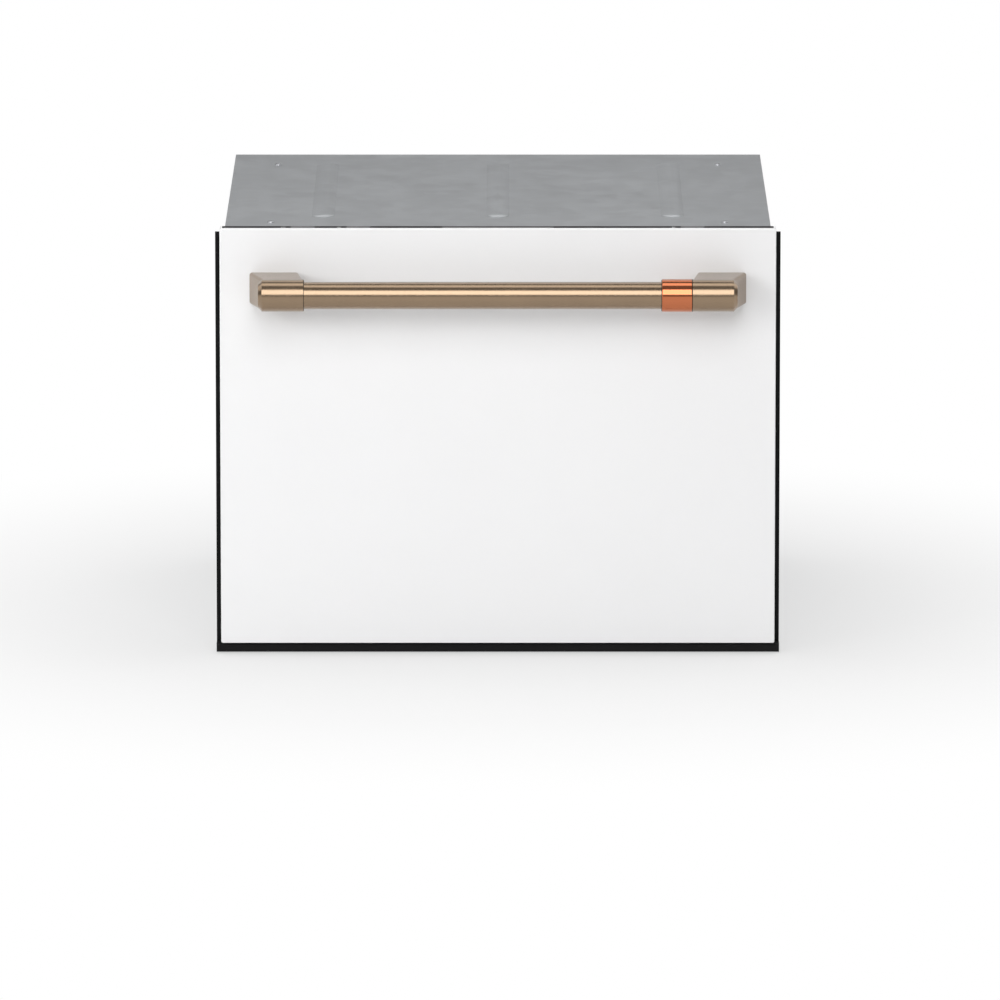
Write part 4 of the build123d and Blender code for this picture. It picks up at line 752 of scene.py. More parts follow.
class Blank:
    """A piece being shaped by hand: a primitive and what edit mode makes of it."""

    def __init__(self, piece: bpy.types.Object) -> None:
        """Keeps the primitive.

        Args:
            piece: The new primitive, at its size and place.
        """
        self.piece = piece

    @classmethod
    def block(cls, size: Place, foot: Place = (0.0, 0.0, 0.0)) -> Blank:
        """Starts from a cube.

        Args:
            size: Its length, width and height.
            foot: The middle of its lower face.

        Returns:
            The blank.
        """
        middle = (foot[0], foot[1], foot[2] + size[2] / 2)
        bpy.ops.mesh.primitive_cube_add(size=1.0, location=middle, scale=size)
        blank = cls(bpy.context.object)
        blank.settle()
        return blank

    @classmethod
    def drum(cls, radius: float, depth: float, base: float = 0.0, sides: int = 32) -> Blank:
        """Starts from a cylinder that stands on the local Z axis.

        Args:
            radius: Its radius.
            depth: Its height.
            base: Where its lower end is.
            sides: How many sides it has.

        Returns:
            The blank.
        """
        middle = (0.0, 0.0, base + depth / 2)
        bpy.ops.mesh.primitive_cylinder_add(vertices=sides, radius=radius, depth=depth, location=middle)
        blank = cls(bpy.context.object)
        blank.settle()
        return blank

    def select(self) -> None:
        """Selects this piece and nothing else."""
        bpy.ops.object.select_all(action="DESELECT")
        self.piece.select_set(True)
        bpy.context.view_layer.objects.active = self.piece

    def settle(self, place: Matrix | None = None) -> None:
        """Puts the piece's place into its mesh.

        Args:
            place: Where the piece goes, if it moves.
        """
        self.select()
        if place is not None:
            self.piece.matrix_world = place
        bpy.ops.object.transform_apply(location=True, rotation=True, scale=True)

    @contextmanager
    def picked(self, kind: Part, wanted: Callable[[object], bool]) -> Iterator[None]:
        """Opens the piece in edit mode with some of its faces or edges selected.

        Args:
            kind: Whether faces or edges are selected.
            wanted: Says which.

        Yields:
            Nothing, while edit mode is open.
        """
        bpy.context.view_layer.objects.active = self.piece
        bpy.ops.object.mode_set(mode="EDIT")
        mesh = bmesh.from_edit_mesh(self.piece.data)
        bpy.ops.mesh.select_mode(type=kind.name)
        bpy.ops.mesh.select_all(action="DESELECT")
        for part in getattr(mesh, kind.value):
            part.select_set(wanted(part))
        bmesh.update_edit_mesh(self.piece.data)
        yield
        bpy.ops.object.mode_set(mode="OBJECT")

    def modify(self, kind: str, **settings: object) -> None:
        """Adds a modifier and applies it.

        Args:
            kind: The modifier's type.
            settings: Its settings.
        """
        self.select()
        modifier = self.piece.modifiers.new(kind.lower(), kind)
        for name, value in settings.items():
            setattr(modifier, name, value)
        bpy.ops.object.modifier_apply(modifier=modifier.name)

    def round_edges(self, wanted: Callable[[bmesh.types.BMEdge], bool], radius: float, steps: int) -> None:
        """Rounds edges.

        Args:
            wanted: Says which edges are rounded.
            radius: How far the rounding reaches.
            steps: How many faces it has.
        """
        with self.picked(Part.EDGE, wanted):
            bpy.ops.mesh.bevel(offset=radius, segments=steps, affect="EDGES", clamp_overlap=True)

    def bore(self, wall: float) -> None:
        """Makes a ring of a drum: both ends are inset and the two inner outlines are bridged.

        Args:
            wall: How wide the ring's wall is.
        """
        with self.picked(Part.FACE, lambda face: abs(face.normal.z) > MOSTLY):
            bpy.ops.mesh.inset(thickness=wall, use_individual=True)
            bpy.ops.mesh.bridge_edge_loops()

    def crown(self, steps: Iterable[Pair]) -> None:
        """Raises the top in steps, or sinks it.

        Args:
            steps: How far each step goes in from the outline, and how far up.
        """
        with self.picked(Part.FACE, faces_up):
            for inwards, upwards in steps:
                bpy.ops.mesh.inset(thickness=inwards, depth=upwards)

    def cut(self, cutter: Blank) -> None:
        """Cuts another blank out of this one and throws it away.

        Args:
            cutter: The blank that is cut out.
        """
        self.modify("BOOLEAN", operation="DIFFERENCE", object=cutter.piece)
        bpy.data.objects.remove(cutter.piece)

    def mend(self) -> None:
        """Joins doubled points, drops faces without area, closes open ends and turns faces outwards."""
        with self.picked(Part.FACE, lambda face: True):
            bpy.ops.mesh.remove_doubles(threshold=MERGE_DISTANCE)
            bpy.ops.mesh.dissolve_degenerate(threshold=MERGE_DISTANCE)
            bpy.ops.mesh.select_all(action="SELECT")
            bpy.ops.mesh.fill_holes(sides=4)
            bpy.ops.mesh.select_all(action="SELECT")
            bpy.ops.mesh.normals_make_consistent(inside=False)

    def smooth(self, degrees: float = 35.0) -> None:
        """Smooths the shading over edges that turn less than some degrees."""
        self.select()
        bpy.ops.object.shade_smooth_by_angle(angle=math.radians(degrees))

    def fit(self, name: str, body: str, slot: Slot, place: Matrix, finish: Finish | None = None) -> None:
        """Puts the finished piece in its place on its body, and names and dresses it.

        Args:
            name: The piece's name.
            body: The CAD body that it rides on.
            slot: The record's slot that its finish comes from.
            place: Where it goes.
            finish: The finish, where it isn't the slot's own.
        """
        self.settle(place)
        self.piece.name = name
        self.piece.data.name = name
        self.piece.data.materials.clear()
        self.piece.data.materials.append((finish or FINISHES[slot]).material())
        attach(self.piece, body)
        LOG.info("%s rides on %s", name, body)

    def fit_copies(self, places: Mapping[str, Matrix], body: str, slot: Slot,
                   finish: Finish | None = None) -> None:
        """Fits copies, each with its own mesh, and throws the blank away.

        Args:
            places: Each copy's name and place.
            body: The CAD body that they ride on.
            slot: The record's slot that their finish comes from.
            finish: The finish, where it isn't the slot's own.
        """
        for name, place in places.items():
            twin = self.piece.copy()
            twin.data = self.piece.data.copy()
            bpy.context.scene.collection.objects.link(twin)
            Blank(twin).fit(name, body, slot, place, finish)
        bpy.data.objects.remove(self.piece)


def faces_up(face: bmesh.types.BMFace) -> bool:
    """True for a face that looks along the local Z axis."""
    return face.normal.z > MOSTLY


def is_upright(edge: bmesh.types.BMEdge) -> bool:
    """True for an edge along the local Z axis."""
    run = edge.verts[0].co - edge.verts[1].co
    return abs(run.z) > MOSTLY * run.length


def at_top(height: float) -> Callable[[bmesh.types.BMEdge], bool]:
    """A test for the top edges of a piece of some height."""
    return lambda edge: all(vertex.co.z > MOSTLY * height for vertex in edge.verts)


def printed_line(size: Place, foot: Place = (0.0, 0.0, 0.0)) -> Blank:
    """Models a printed line.

    Args:
        size: Its length, width and thickness.
        foot: The middle of its underside.

    Returns:
        The line, with rounded ends.
    """
    line = Blank.block(size, foot)
    line.round_edges(is_upright, min(size[:2]) * LINE_ROUNDING, steps=3)
    return line


def facing(place: Place, outwards: Place, along: Place) -> Matrix:
    """A place whose Z points outwards from a surface.

    Args:
        place: The point on the surface.
        outwards: The surface's normal.
        along: The direction that X takes.

    Returns:
        The place as a matrix.
    """
    up, ahead = Vector(outwards), Vector(along)
    turn = Matrix((ahead, up.cross(ahead), up)).transposed()
    return Matrix.Translation(place) @ turn.to_4x4()


def on_sides(name: str, spots: Iterable[Pair]) -> dict[str, Matrix]:
    """Places on the two side panels, each with its mirror image.

    Args:
        name: What the pieces are called, after their side.
        spots: The places' Y and Z.

    Returns:
        Each piece's name and place.
    """
    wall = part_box("right_side_panel")[1].x
    found = {}
    for number, (depth, level) in enumerate(spots):
        found[f"right_{name}_{number}"] = facing((wall, depth, level), RIGHT, BACK)
        found[f"left_{name}_{number}"] = facing((-wall, depth, level), LEFT, BACK)
    return found


@dataclass(frozen=True)
class ShellPressings:
    """The stiffening beads pressed into the shell's sheets.

    Attributes:
        length: How long a bead is.
        width: How wide it is.
        foot: How far its steep foot stands out.
        end: The radius of its ends, as a share of its width.
        crown: The steps from the foot to the crown: how far each goes in, and how far up.
        middle: Where the beads' middles are, from front to back.
        side_levels: The heights of the beads on each side.
        back_levels: The heights of those on the back.
        top_spans: How far those on the top are from the middle.
    """

    length: float = 0.38
    width: float = 0.024
    foot: float = 0.0003
    end: float = 0.47
    crown: tuple[Pair, ...] = ((0.0025, 0.0009), (0.003, 0.0006), (0.0035, 0.0003))
    middle: float = 0.06
    side_levels: tuple[float, ...] = (0.09, 0.3, 0.39)
    back_levels: tuple[float, ...] = (0.16, 0.27, 0.38)
    top_spans: tuple[float, ...] = (-0.19, 0.0, 0.19)

    def build(self) -> None:
        """Models one bead and copies it to its places."""
        bead = Blank.block((self.length, self.width, self.foot))
        bead.round_edges(is_upright, self.width * self.end, steps=10)
        bead.crown(self.crown)
        bead.smooth(degrees=50.0)
        back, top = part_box("back_panel")[1].y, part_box("top_panel")[1].z
        places = on_sides("bead", [(self.middle, level) for level in self.side_levels])
        for number, level in enumerate(self.back_levels):
            places[f"back_bead_{number}"] = facing((0.0, back, level), BACK, RIGHT)
        for number, span in enumerate(self.top_spans):
            places[f"top_bead_{number}"] = facing((span, self.middle, top), UP, BACK)
        bead.fit_copies(places, "chassis", Slot.ZINC_STEEL)


@dataclass(frozen=True)
class ShellFixings:
    """The screws and rivets that hold the shell together.

    Attributes:
        head_radius: A screw head's radius.
        head_height: Its height.
        head_rounding: How far its edge is rounded, as a share of the height.
        recess: The length, width and depth of the cross in it.
        screw_depths: Where the sides' screws are, from front to back.
        screw_spans: How far those of the back are from the middle.
        rivet_radius: A rivet head's radius.
        rivet_height: Its height.
        rivet_rounding: How far its edge is rounded, as a share of the height.
        rivet_depths: Where the runners' rivets are, from front to back.
        pin_inset: How far the guide pins' rivets are in from the pins' outer sides.
    """

    head_radius: float = 0.0042
    head_height: float = 0.0022
    head_rounding: float = 0.75
    recess: Place = (0.0046, 0.0011, 0.0014)
    screw_depths: tuple[float, ...] = (-0.16, 0.04, 0.24)
    screw_spans: tuple[float, ...] = (-0.26, 0.0, 0.26)
    rivet_radius: float = 0.0038
    rivet_height: float = 0.0016
    rivet_rounding: float = 0.95
    rivet_depths: tuple[float, ...] = (-0.2, 0.03, 0.25)
    pin_inset: float = 0.006

    def lay_screws(self) -> None:
        """Models a screw head and copies it: through the sides and the back into the tray's lip."""
        screw = Blank.drum(self.head_radius, self.head_height, sides=28)
        screw.round_edges(at_top(self.head_height), self.head_height * self.head_rounding, steps=4)
        length, width, depth = self.recess
        for size in ((length, width, 2 * depth), (width, length, 2 * depth)):
            screw.cut(Blank.block(size, (0.0, 0.0, self.head_height - depth)))
        screw.smooth()
        low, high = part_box("base_tray")
        level = (low.z + high.z) / 2
        places = on_sides("tray_screw", [(depth, level) for depth in self.screw_depths])
        for number, span in enumerate(self.screw_spans):
            places[f"back_tray_screw_{number}"] = facing((span, high.y, level), BACK, RIGHT)
        screw.fit_copies(places, "chassis", Slot.RUNNER_STEEL)

    def lay_rivets(self) -> None:
        """Models a rivet head and copies it: behind the outer runners and over the lid's guide pins."""
        rivet = Blank.drum(self.rivet_radius, self.rivet_height, sides=24)
        rivet.round_edges(at_top(self.rivet_height), self.rivet_height * self.rivet_rounding, steps=5)
        rivet.smooth(degrees=60.0)
        low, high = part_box("outer_runners")
        level = (low.z + high.z) / 2
        places = on_sides("runner_rivet", [(depth, level) for depth in self.rivet_depths])
        low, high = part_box("lid_guide_pins")
        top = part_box("top_panel")[1].z
        for row, depth in enumerate((low.y + self.pin_inset, high.y - self.pin_inset)):
            for column, span in enumerate((low.x + self.pin_inset, high.x - self.pin_inset)):
                places[f"top_pin_rivet_{row}_{column}"] = facing((span, depth, top), UP, BACK)
        rivet.fit_copies(places, "chassis", Slot.RUNNER_STEEL)

    def build(self) -> None:
        """Puts in the screws and the rivets."""
        self.lay_screws()
        self.lay_rivets()


@dataclass(frozen=True)
class ServiceFittings:
    """The thread, nuts, barbs and sieve on the connections at the back.

    Attributes:
        inlet: The middle of the water inlet, in X and Z.
        inlet_radius: The inlet stub's radius.
        collar_radius: The radius of the collar at its foot.
        drain: The middle of the drain tail, in X and Z.
        drain_radius: The drain tail's radius.
        gland: The middle of the mains gland, in X and Z.
        gland_radius: The gland's radius.
        thread_start: How far the thread's first turn is from the rear sheet.
        thread_pitch: The distance between two turns.
        thread_height: How far the thread stands out.
        thread_foot: How wide its foot is, as a share of the pitch.
        thread_crest: How wide its crest is, as a share of the foot.
        thread_turns: How many turns it has.
        thread_steps: How many faces a turn has.
        thread_blank: The thickness of the block that its outline is one side of.
        nut_wall: How much wider a nut is than what it is on.
        nut_depth: How thick a nut is.
        nut_corner: How far its corners are rounded, as a share of its wall.
        nut_edge: How far its edges are rounded, as a share of its wall.
        barb_height: How far a barb stands out.
        barb_length: How long a barb is.
        barb_lip: How far its thin end stands out.
        barb_wall: How thick its wall is, as a share of its height.
        barbs: How far the barbs are from the rear sheet.
        screen_radius: The radius of the sieve in the inlet, with the part that is in the wall.
        screen_depth: How far the sieve is from the rear sheet.
        screen_meshes: How many meshes it has from side to side.
        screen_wire: How thick its wire is.
    """

    inlet: Pair = (-0.23, 0.062)
    inlet_radius: float = 0.0132
    collar_radius: float = 0.0162
    drain: Pair = (0.23, 0.062)
    drain_radius: float = 0.0095
    gland: Pair = (0.14, 0.062)
    gland_radius: float = 0.011
    thread_start: float = 0.0072
    thread_pitch: float = 0.0018
    thread_height: float = 0.0009
    thread_foot: float = 0.75
    thread_crest: float = 0.25
    thread_turns: int = 6
    thread_steps: int = 40
    thread_blank: float = 0.0004
    nut_wall: float = 0.005
    nut_depth: float = 0.0055
    nut_corner: float = 0.12
    nut_edge: float = 0.1
    barb_height: float = 0.0013
    barb_length: float = 0.0045
    barb_lip: float = 0.0001
    barb_wall: float = 0.9
    barbs: tuple[float, ...] = (0.0055, 0.0105, 0.0155)
    screen_radius: float = 0.0122
    screen_depth: float = 0.0135
    screen_meshes: int = 14
    screen_wire: float = 0.0005

    def on_back(self, spot: Pair, out: float = 0.0) -> Matrix:
        """A place on the rear sheet that faces backwards.

        Args:
            spot: Its X and Z.
            out: How far it is from the sheet.

        Returns:
            The place.
        """
        return facing((spot[0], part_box("back_panel")[1].y + out, spot[1]), BACK, RIGHT)

    def nut(self, radius: float) -> Blank:
        """Models a lock nut.

        Args:
            radius: The radius of what it is on.

        Returns:
            The nut.
        """
        nut = Blank.drum(radius + self.nut_wall, self.nut_depth, sides=6)
        nut.round_edges(is_upright, self.nut_wall * self.nut_corner, steps=2)
        # The bore is cut from one depth below the nut to one depth above it.
        nut.cut(Blank.drum(radius, 3 * self.nut_depth, -self.nut_depth, sides=48))
        nut.round_edges(at_top(self.nut_depth), self.nut_wall * self.nut_edge, steps=2)
        nut.mend()
        nut.smooth()
        return nut

    def thread(self) -> Blank:
        """Models the inlet's thread: an outline that winds up the stub.

        Returns:
            The thread.
        """
        foot = self.thread_pitch * self.thread_foot
        ridge = Blank.block((self.thread_height * 2, self.thread_blank, foot),
                            (self.inlet_radius, 0.0, -foot / 2))
        with ridge.picked(Part.FACE, lambda face: face.normal.y < MOSTLY):
            bpy.ops.mesh.delete(type="FACE")
        with ridge.picked(Part.EDGE, lambda edge: all(v.co.x > self.inlet_radius for v in edge.verts)):
            bpy.ops.transform.resize(value=(1.0, 1.0, self.thread_crest))
        ridge.modify("SCREW", axis="Z", screw_offset=self.thread_pitch, iterations=self.thread_turns,
                     steps=self.thread_steps, render_steps=self.thread_steps, use_merge_vertices=True)
        ridge.mend()
        ridge.smooth(degrees=25.0)
        return ridge

    def barb(self) -> Blank:
        """Models one barb of the drain tail.

        Returns:
            The barb.
        """
        radius = self.drain_radius + self.barb_height
        barb = Blank.drum(radius, self.barb_length, sides=40)
        narrow = (self.drain_radius + self.barb_lip) / radius
        with barb.picked(Part.FACE, faces_up):
            bpy.ops.transform.resize(value=(narrow, narrow, 1.0))
        barb.bore(self.barb_height * self.barb_wall)
        barb.smooth()
        return barb

    def screen(self) -> Blank:
        """Models the round sieve in the inlet's mouth: a grid cut round and made into wires.

        Returns:
            The sieve.
        """
        meshes, radius = self.screen_meshes, self.screen_radius
        bpy.ops.mesh.primitive_grid_add(x_subdivisions=meshes, y_subdivisions=meshes, size=2 * radius)
        sieve = Blank(bpy.context.object)
        with sieve.picked(Part.FACE, lambda face: any(v.co.length > radius for v in face.verts)):
            bpy.ops.mesh.delete(type="FACE")
        sieve.modify("WIREFRAME", thickness=self.screen_wire, use_boundary=True)
        sieve.mend()
        return sieve

    def build(self) -> None:
        """Models the fittings and puts them on the shell."""
        for name, spot, radius in (("inlet_nut", self.inlet, self.collar_radius),
                                   ("gland_nut", self.gland, self.gland_radius)):
            self.nut(radius).fit(name, "chassis", Slot.BLACK_PLASTIC, self.on_back(spot))
        start = self.on_back(self.inlet, self.thread_start)
        self.thread().fit("inlet_thread", "chassis", Slot.SERVICE_PLASTIC, start)
        inside = self.on_back(self.inlet, self.screen_depth)
        self.screen().fit("inlet_screen", "chassis", Slot.STAINLESS, inside)
        places = {f"drain_barb_{number}": self.on_back(self.drain, out)
                  for number, out in enumerate(self.barbs)}
        self.barb().fit_copies(places, "chassis", Slot.SERVICE_PLASTIC)


@dataclass(frozen=True)
class HandleJointShade:
    """The thin dark rings in the handle's joints: painted shade, dark pieces put where the joints' shade
    falls.

    Attributes:
        width: How wide a ring is along the bar.
        sink: How far a ring on the bar lies below the piece beside it.
        rise: How far the ring on the nose stands above it.
        seat: How far a ring reaches into what it sits on.
        rounding: How far its edges are rounded, as a share of its width.
    """

    width: float = 0.00045
    sink: float = 0.0008
    rise: float = 0.0002
    seat: float = 0.0001
    rounding: float = 0.2

    def build(self) -> None:
        """Models the painted-shade rings: beside the left nose, and on both sides of the band."""
        bar, posts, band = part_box("handle_bar"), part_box("handle_posts"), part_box("handle_band")
        axis = (bar[0] + bar[1]) / 2
        bar_radius, post_radius, band_radius = ((box[1].z - box[0].z) / 2 for box in (bar, posts, band))
        shade_rings = {
            "left_joint_ring": (-band[1].x - self.seat, post_radius - self.sink, bar_radius),
            "band_inner_ring": (band[0].x - self.width, band_radius - self.sink, bar_radius),
            "band_outer_ring": (band[1].x + self.seat, post_radius + self.rise, post_radius),
        }
        # Painted shade: black plastic rings that darken the joints where only shade falls on the real
        # handle.
        for name, (start, outer, seat) in shade_rings.items():
            ring = Blank.drum(outer, self.width, sides=64)
            ring.bore(outer - seat + self.seat)
            rim = outer * NEARLY
            ring.round_edges(lambda edge: not is_upright(edge) and edge.verts[0].co.xy.length > rim,
                             self.width * self.rounding, steps=2)
            ring.smooth()
            ring.fit(name, "drawer", Slot.BLACK_PLASTIC, facing((start, axis.y, axis.z), RIGHT, BACK))


@dataclass(frozen=True)
class DeadeningPads:
    """The heavy mats stuck to the tub's sides.

    Attributes:
        wall: How far the tub's side walls are from the middle.
        span: Where the mats start and end, from front to back.
        levels: The lowest and highest point of each mat.
        thickness: How thick they are.
        corner: The radius of their corners.
        edge: How far their edges are rounded, as a share of the thickness.
    """

    wall: float = 0.2813
    span: Pair = (-0.165, 0.225)
    levels: tuple[Pair, ...] = ((0.125, 0.185), (0.258, 0.392))
    thickness: float = 0.0024
    corner: float = 0.014
    edge: float = 0.6

    def build(self) -> None:
        """Models a pair of mats for each level."""
        length, middle = self.span[1] - self.span[0], sum(self.span) / 2
        for number, (low, high) in enumerate(self.levels):
            mat = Blank.block((length, high - low, self.thickness))
            mat.round_edges(is_upright, self.corner, steps=6)
            mat.round_edges(at_top(self.thickness), self.thickness * self.edge, steps=3)
            mat.smooth(degrees=40.0)
            height = (low + high) / 2
            places = {f"left_tub_mat_{number}": facing((-self.wall, middle, height), LEFT, BACK),
                      f"right_tub_mat_{number}": facing((self.wall, middle, height), RIGHT, BACK)}
            mat.fit_copies(places, "drawer", Slot.BLACK_RUBBER, DEADENING_MAT)


@dataclass(frozen=True)
class DispenserTrim:
    """The dispenser's small fittings: the door's tab and catch, the rinse lens and the cap's marks.

    Attributes:
        door_gap: How far the door's back is from the housing's face.
        door_thickness: How thick the door is.
        grip_rise: How far the cap's grip stands above its disc.
        tab: The finger tab's width, height and thickness.
        tab_corner: The radius of its corners.
        tab_drop: How far its middle is below the door's top.
        dish: The steps of the hollow in the tab: how far each goes in, and how far up.
        catch: The catch's width, height and thickness.
        catch_corner: The radius of its corners.
        edge: How far the edges of both are rounded, as a share of their thickness.
        lens_radius: The rinse lens's radius.
        lens_height: How far its edge stands out.
        lens_crown: The steps from its edge to its crown.
        lens_spot: Where it is from the cap's middle, in X and Z.
        rim: How wide the rim round the lens is.
        rim_edge: How far the rim's edges are rounded.
        pointer_radius: The pointer's radius.
        pointer_corner: The radius of its corners.
        pointer_out: How far it is from the cap's middle.
        mark: The length, width and thickness of the marks round the cap.
        mark_gap: How far their middles are from the cap's edge.
    """

    door_gap: float = 0.0004
    door_thickness: float = 0.004
    grip_rise: float = 0.0045
    tab: Place = (0.026, 0.0065, 0.0032)
    tab_corner: float = 0.0026
    tab_drop: float = 0.0065
    dish: tuple[Pair, ...] = ((0.0008, 0.0), (0.0006, -0.0009), (0.0006, -0.0005))
    catch: Place = (0.018, 0.0055, 0.0048)
    catch_corner: float = 0.00165
    edge: float = 0.1
    lens_radius: float = 0.0045
    lens_height: float = 0.0012
    lens_crown: tuple[Pair, ...] = ((0.0008, 0.0006), (0.001, 0.0004), (0.0012, 0.0002))
    lens_spot: Pair = (-0.0275, 0.0215)
    rim: float = 0.0015
    rim_edge: float = 0.00036
    pointer_radius: float = 0.0021
    pointer_corner: float = 0.00042
    pointer_out: float = 0.0125
    mark: Place = (0.0045, 0.0013, 0.00012)
    mark_gap: float = 0.0045

    def moulded(self, size: Place, corner: float, dish: Iterable[Pair] = ()) -> Blank:
        """Models a small moulded block with rounded corners and a rounded top.

        Args:
            size: Its width, height and thickness.
            corner: The radius of its corners.
            dish: The steps of the hollow in its top, where it has one.

        Returns:
            The block, standing on the local origin.
        """
        block = Blank.block(size)
        block.round_edges(is_upright, corner, steps=5)
        block.crown(dish)
        block.round_edges(at_top(size[2]), size[2] * self.edge, steps=3)
        block.smooth()
        return block

    def fit_door(self) -> None:
        """Models the door's finger tab and the catch over it."""
        low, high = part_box("dispenser_door")
        middle = (low.x + high.x) / 2
        held = facing((middle, low.y + self.door_thickness, high.z - self.tab_drop), BACK, RIGHT)
        tab = self.moulded(self.tab, self.tab_corner, self.dish)
        tab.fit("dispenser_door_tab", "dispenser_door", Slot.GREY_PLASTIC, held)
        level = high.z + self.door_gap + self.catch[1] / 2
        over = facing((middle, low.y - self.door_gap, level), BACK, RIGHT)
        catch = self.moulded(self.catch, self.catch_corner)
        catch.fit("dispenser_door_catch", "drawer", Slot.GREY_PLASTIC, over)

    def fit_cap(self) -> None:
        """Models the rinse lens in its rim, and the pointer and the marks of the rinse cap."""
        low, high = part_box("rinse_cap")
        hub, face = (low + high) / 2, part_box("dispenser_door")[0].y - self.door_gap
        place = facing((hub.x + self.lens_spot[0], face, hub.z + self.lens_spot[1]), BACK, RIGHT)
        lens = Blank.drum(self.lens_radius, self.lens_height)
        lens.crown(self.lens_crown)
        lens.smooth(degrees=40.0)
        lens.fit("rinse_lens", "drawer", Slot.DISPLAY_GLASS, place)
        rim = Blank.drum(self.lens_radius + self.rim, self.lens_height)
        rim.bore(self.rim)
        rim.round_edges(at_top(self.lens_height), self.rim_edge, steps=2)
        rim.smooth()
        rim.fit("rinse_lens_rim", "drawer", Slot.GREY_PLASTIC, place)
        pointer = Blank.drum(self.pointer_radius, self.mark[2], sides=3)
        pointer.round_edges(is_upright, self.pointer_corner, steps=3)
        place = facing((hub.x, high.y - self.grip_rise, hub.z + self.pointer_out), BACK, LEFT)
        pointer.fit("rinse_cap_pointer", "rinse_cap", Slot.SERVICE_PLASTIC, place, PRINTED_INK)
        out = (high.x - low.x) / 2 + self.mark_gap
        places = {"rinse_cap_mark_0": facing((hub.x, face, hub.z + out), BACK, UP),
                  "rinse_cap_mark_1": facing((hub.x + out, face, hub.z), BACK, RIGHT)}
        printed_line(self.mark).fit_copies(places, "drawer", Slot.SERVICE_PLASTIC, PRINTED_INK)

    def build(self) -> None:
        """Puts the fittings on the housing, the door and the cap."""
        self.fit_door()
        self.fit_cap()


@dataclass(frozen=True)
class ControlMarks:
    """The printed marks and small lamps on the control strip.

    Attributes:
        ink: How thick the ink is.
        line: How wide a printed line is.
        gap: How far a mark's middle is from its button's edge.
        ring_radius: The radius of the power mark's ring.
        ring_gap: How wide the opening in the ring is.
        bar_length: How long the bar in that opening is.
        bar_out: How far the bar's middle is from the ring's.
        lines: The lengths of the cycle mark's lines.
        line_pitch: The distance between two of them.
        arrow_radius: The radius of the start mark.
        arrow_corner: The radius of its corners.
        lamp_radius: A lamp's radius.
        lamp_height: How far it stands out.
        lamp_edge: How far its edge is rounded.
        lamp_gap: How far a lamp's middle is from its button's edge.
    """

    ink: float = 0.00012
    line: float = 0.0006
    gap: float = 0.008
    ring_radius: float = 0.0026
    ring_gap: float = 0.0018
    bar_length: float = 0.00286
    bar_out: float = 0.00182
    lines: tuple[float, ...] = (0.005, 0.004, 0.003)
    line_pitch: float = 0.0016
    arrow_radius: float = 0.00286
    arrow_corner: float = 0.0003
    lamp_radius: float = 0.0011
    lamp_height: float = 0.00036
    lamp_edge: float = 0.00024
    lamp_gap: float = 0.0056

    def spot(self, x: float) -> Matrix:
        """A place on the strip's top.

        Args:
            x: How far it is to the right of the middle.

        Returns:
            The place.
        """
        low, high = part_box("power_button")
        return facing((x, (low.y + high.y) / 2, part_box("control_strip")[1].z), UP, RIGHT)

    def print_mark(self, name: str, mark: Blank, button: str) -> None:
        """Puts a mark on the strip.

        Args:
            name: The mark's name.
            mark: The mark, around the local origin.
            button: The button that it goes beside.
        """
        place = self.spot(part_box(button)[0].x - self.gap)
        mark.fit(name, "drawer", Slot.SERVICE_PLASTIC, place, PRINTED_INK)

    def build(self) -> None:
        """Models a ring and bar, three lines and an arrow head, and a lamp beside each button."""
        ring = Blank.drum(self.ring_radius, self.ink, sides=40)
        ring.bore(self.line)
        # The opening is cut well through the ink, from below it to above it.
        ring.cut(Blank.block((self.ring_gap, self.ring_radius, 4 * self.ink),
                             (0.0, self.ring_radius, -2 * self.ink)))
        self.print_mark("power_ring_mark", ring, "power_button")
        bar = printed_line((self.line, self.bar_length, self.ink), (0.0, self.bar_out, 0.0))
        self.print_mark("power_bar_mark", bar, "power_button")
        middle = (len(self.lines) - 1) / 2
        for number, length in enumerate(self.lines):
            offset = (number - middle) * self.line_pitch
            line = printed_line((length, self.line, self.ink), (0.0, offset, 0.0))
            self.print_mark(f"cycle_line_mark_{number}", line, "cycle_button")
        arrow = Blank.drum(self.arrow_radius, self.ink, sides=3)
        arrow.round_edges(is_upright, self.arrow_corner, steps=3)
        arrow.settle(Matrix.Rotation(-math.pi / 2, 4, "Z"))
        self.print_mark("start_arrow_mark", arrow, "start_button")
        lamp = Blank.drum(self.lamp_radius, self.lamp_height, sides=20)
        lamp.round_edges(at_top(self.lamp_height), self.lamp_edge, steps=3)
        lamp.smooth(degrees=60.0)
        places = {f"{button}_lamp": self.spot(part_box(button)[1].x + self.lamp_gap)
                  for button in ("power_button", "cycle_button", "start_button")}
        lamp.fit_copies(places, "drawer", Slot.DISPLAY_GLASS)


@dataclass(frozen=True)
class Lamp:
    """A soft box.

    Attributes:
        name: Its name.
        place: Where its middle is.
        aim: The point that it faces.
        width: Its width.
        height: Its height.
        radiance: How bright its face is, where 1 is a white sheet in plain light.
        shows: Whether its face shows in gloss.
    """

    name: str
    place: Place
    aim: Place
    width: float
    height: float
    radiance: float
    shows: bool = True

    def build(self) -> None:
        """Puts the lamp into the scene."""
        data = bpy.data.lights.new(self.name, "AREA")
        data.shape = "RECTANGLE"
        data.size = self.width
        data.size_y = self.height
        data.energy = math.pi * self.width * self.height * self.radiance
        lamp = bpy.data.objects.new(self.name, data)
        lamp.matrix_world = aimed(Vector(self.place), Vector(self.aim))
        lamp.visible_glossy = self.shows
        bpy.context.scene.collection.objects.link(lamp)


def aimed(place: Vector, aim: Vector) -> Matrix:
    """The place of a lamp or a camera that looks at a point.

    Args:
        place: Where it stands.
        aim: The point that it looks at.

    Returns:
        The place as a matrix.
    """
    return Matrix.Translation(place) @ (aim - place).to_track_quat("-Z", "Y").to_matrix().to_4x4()


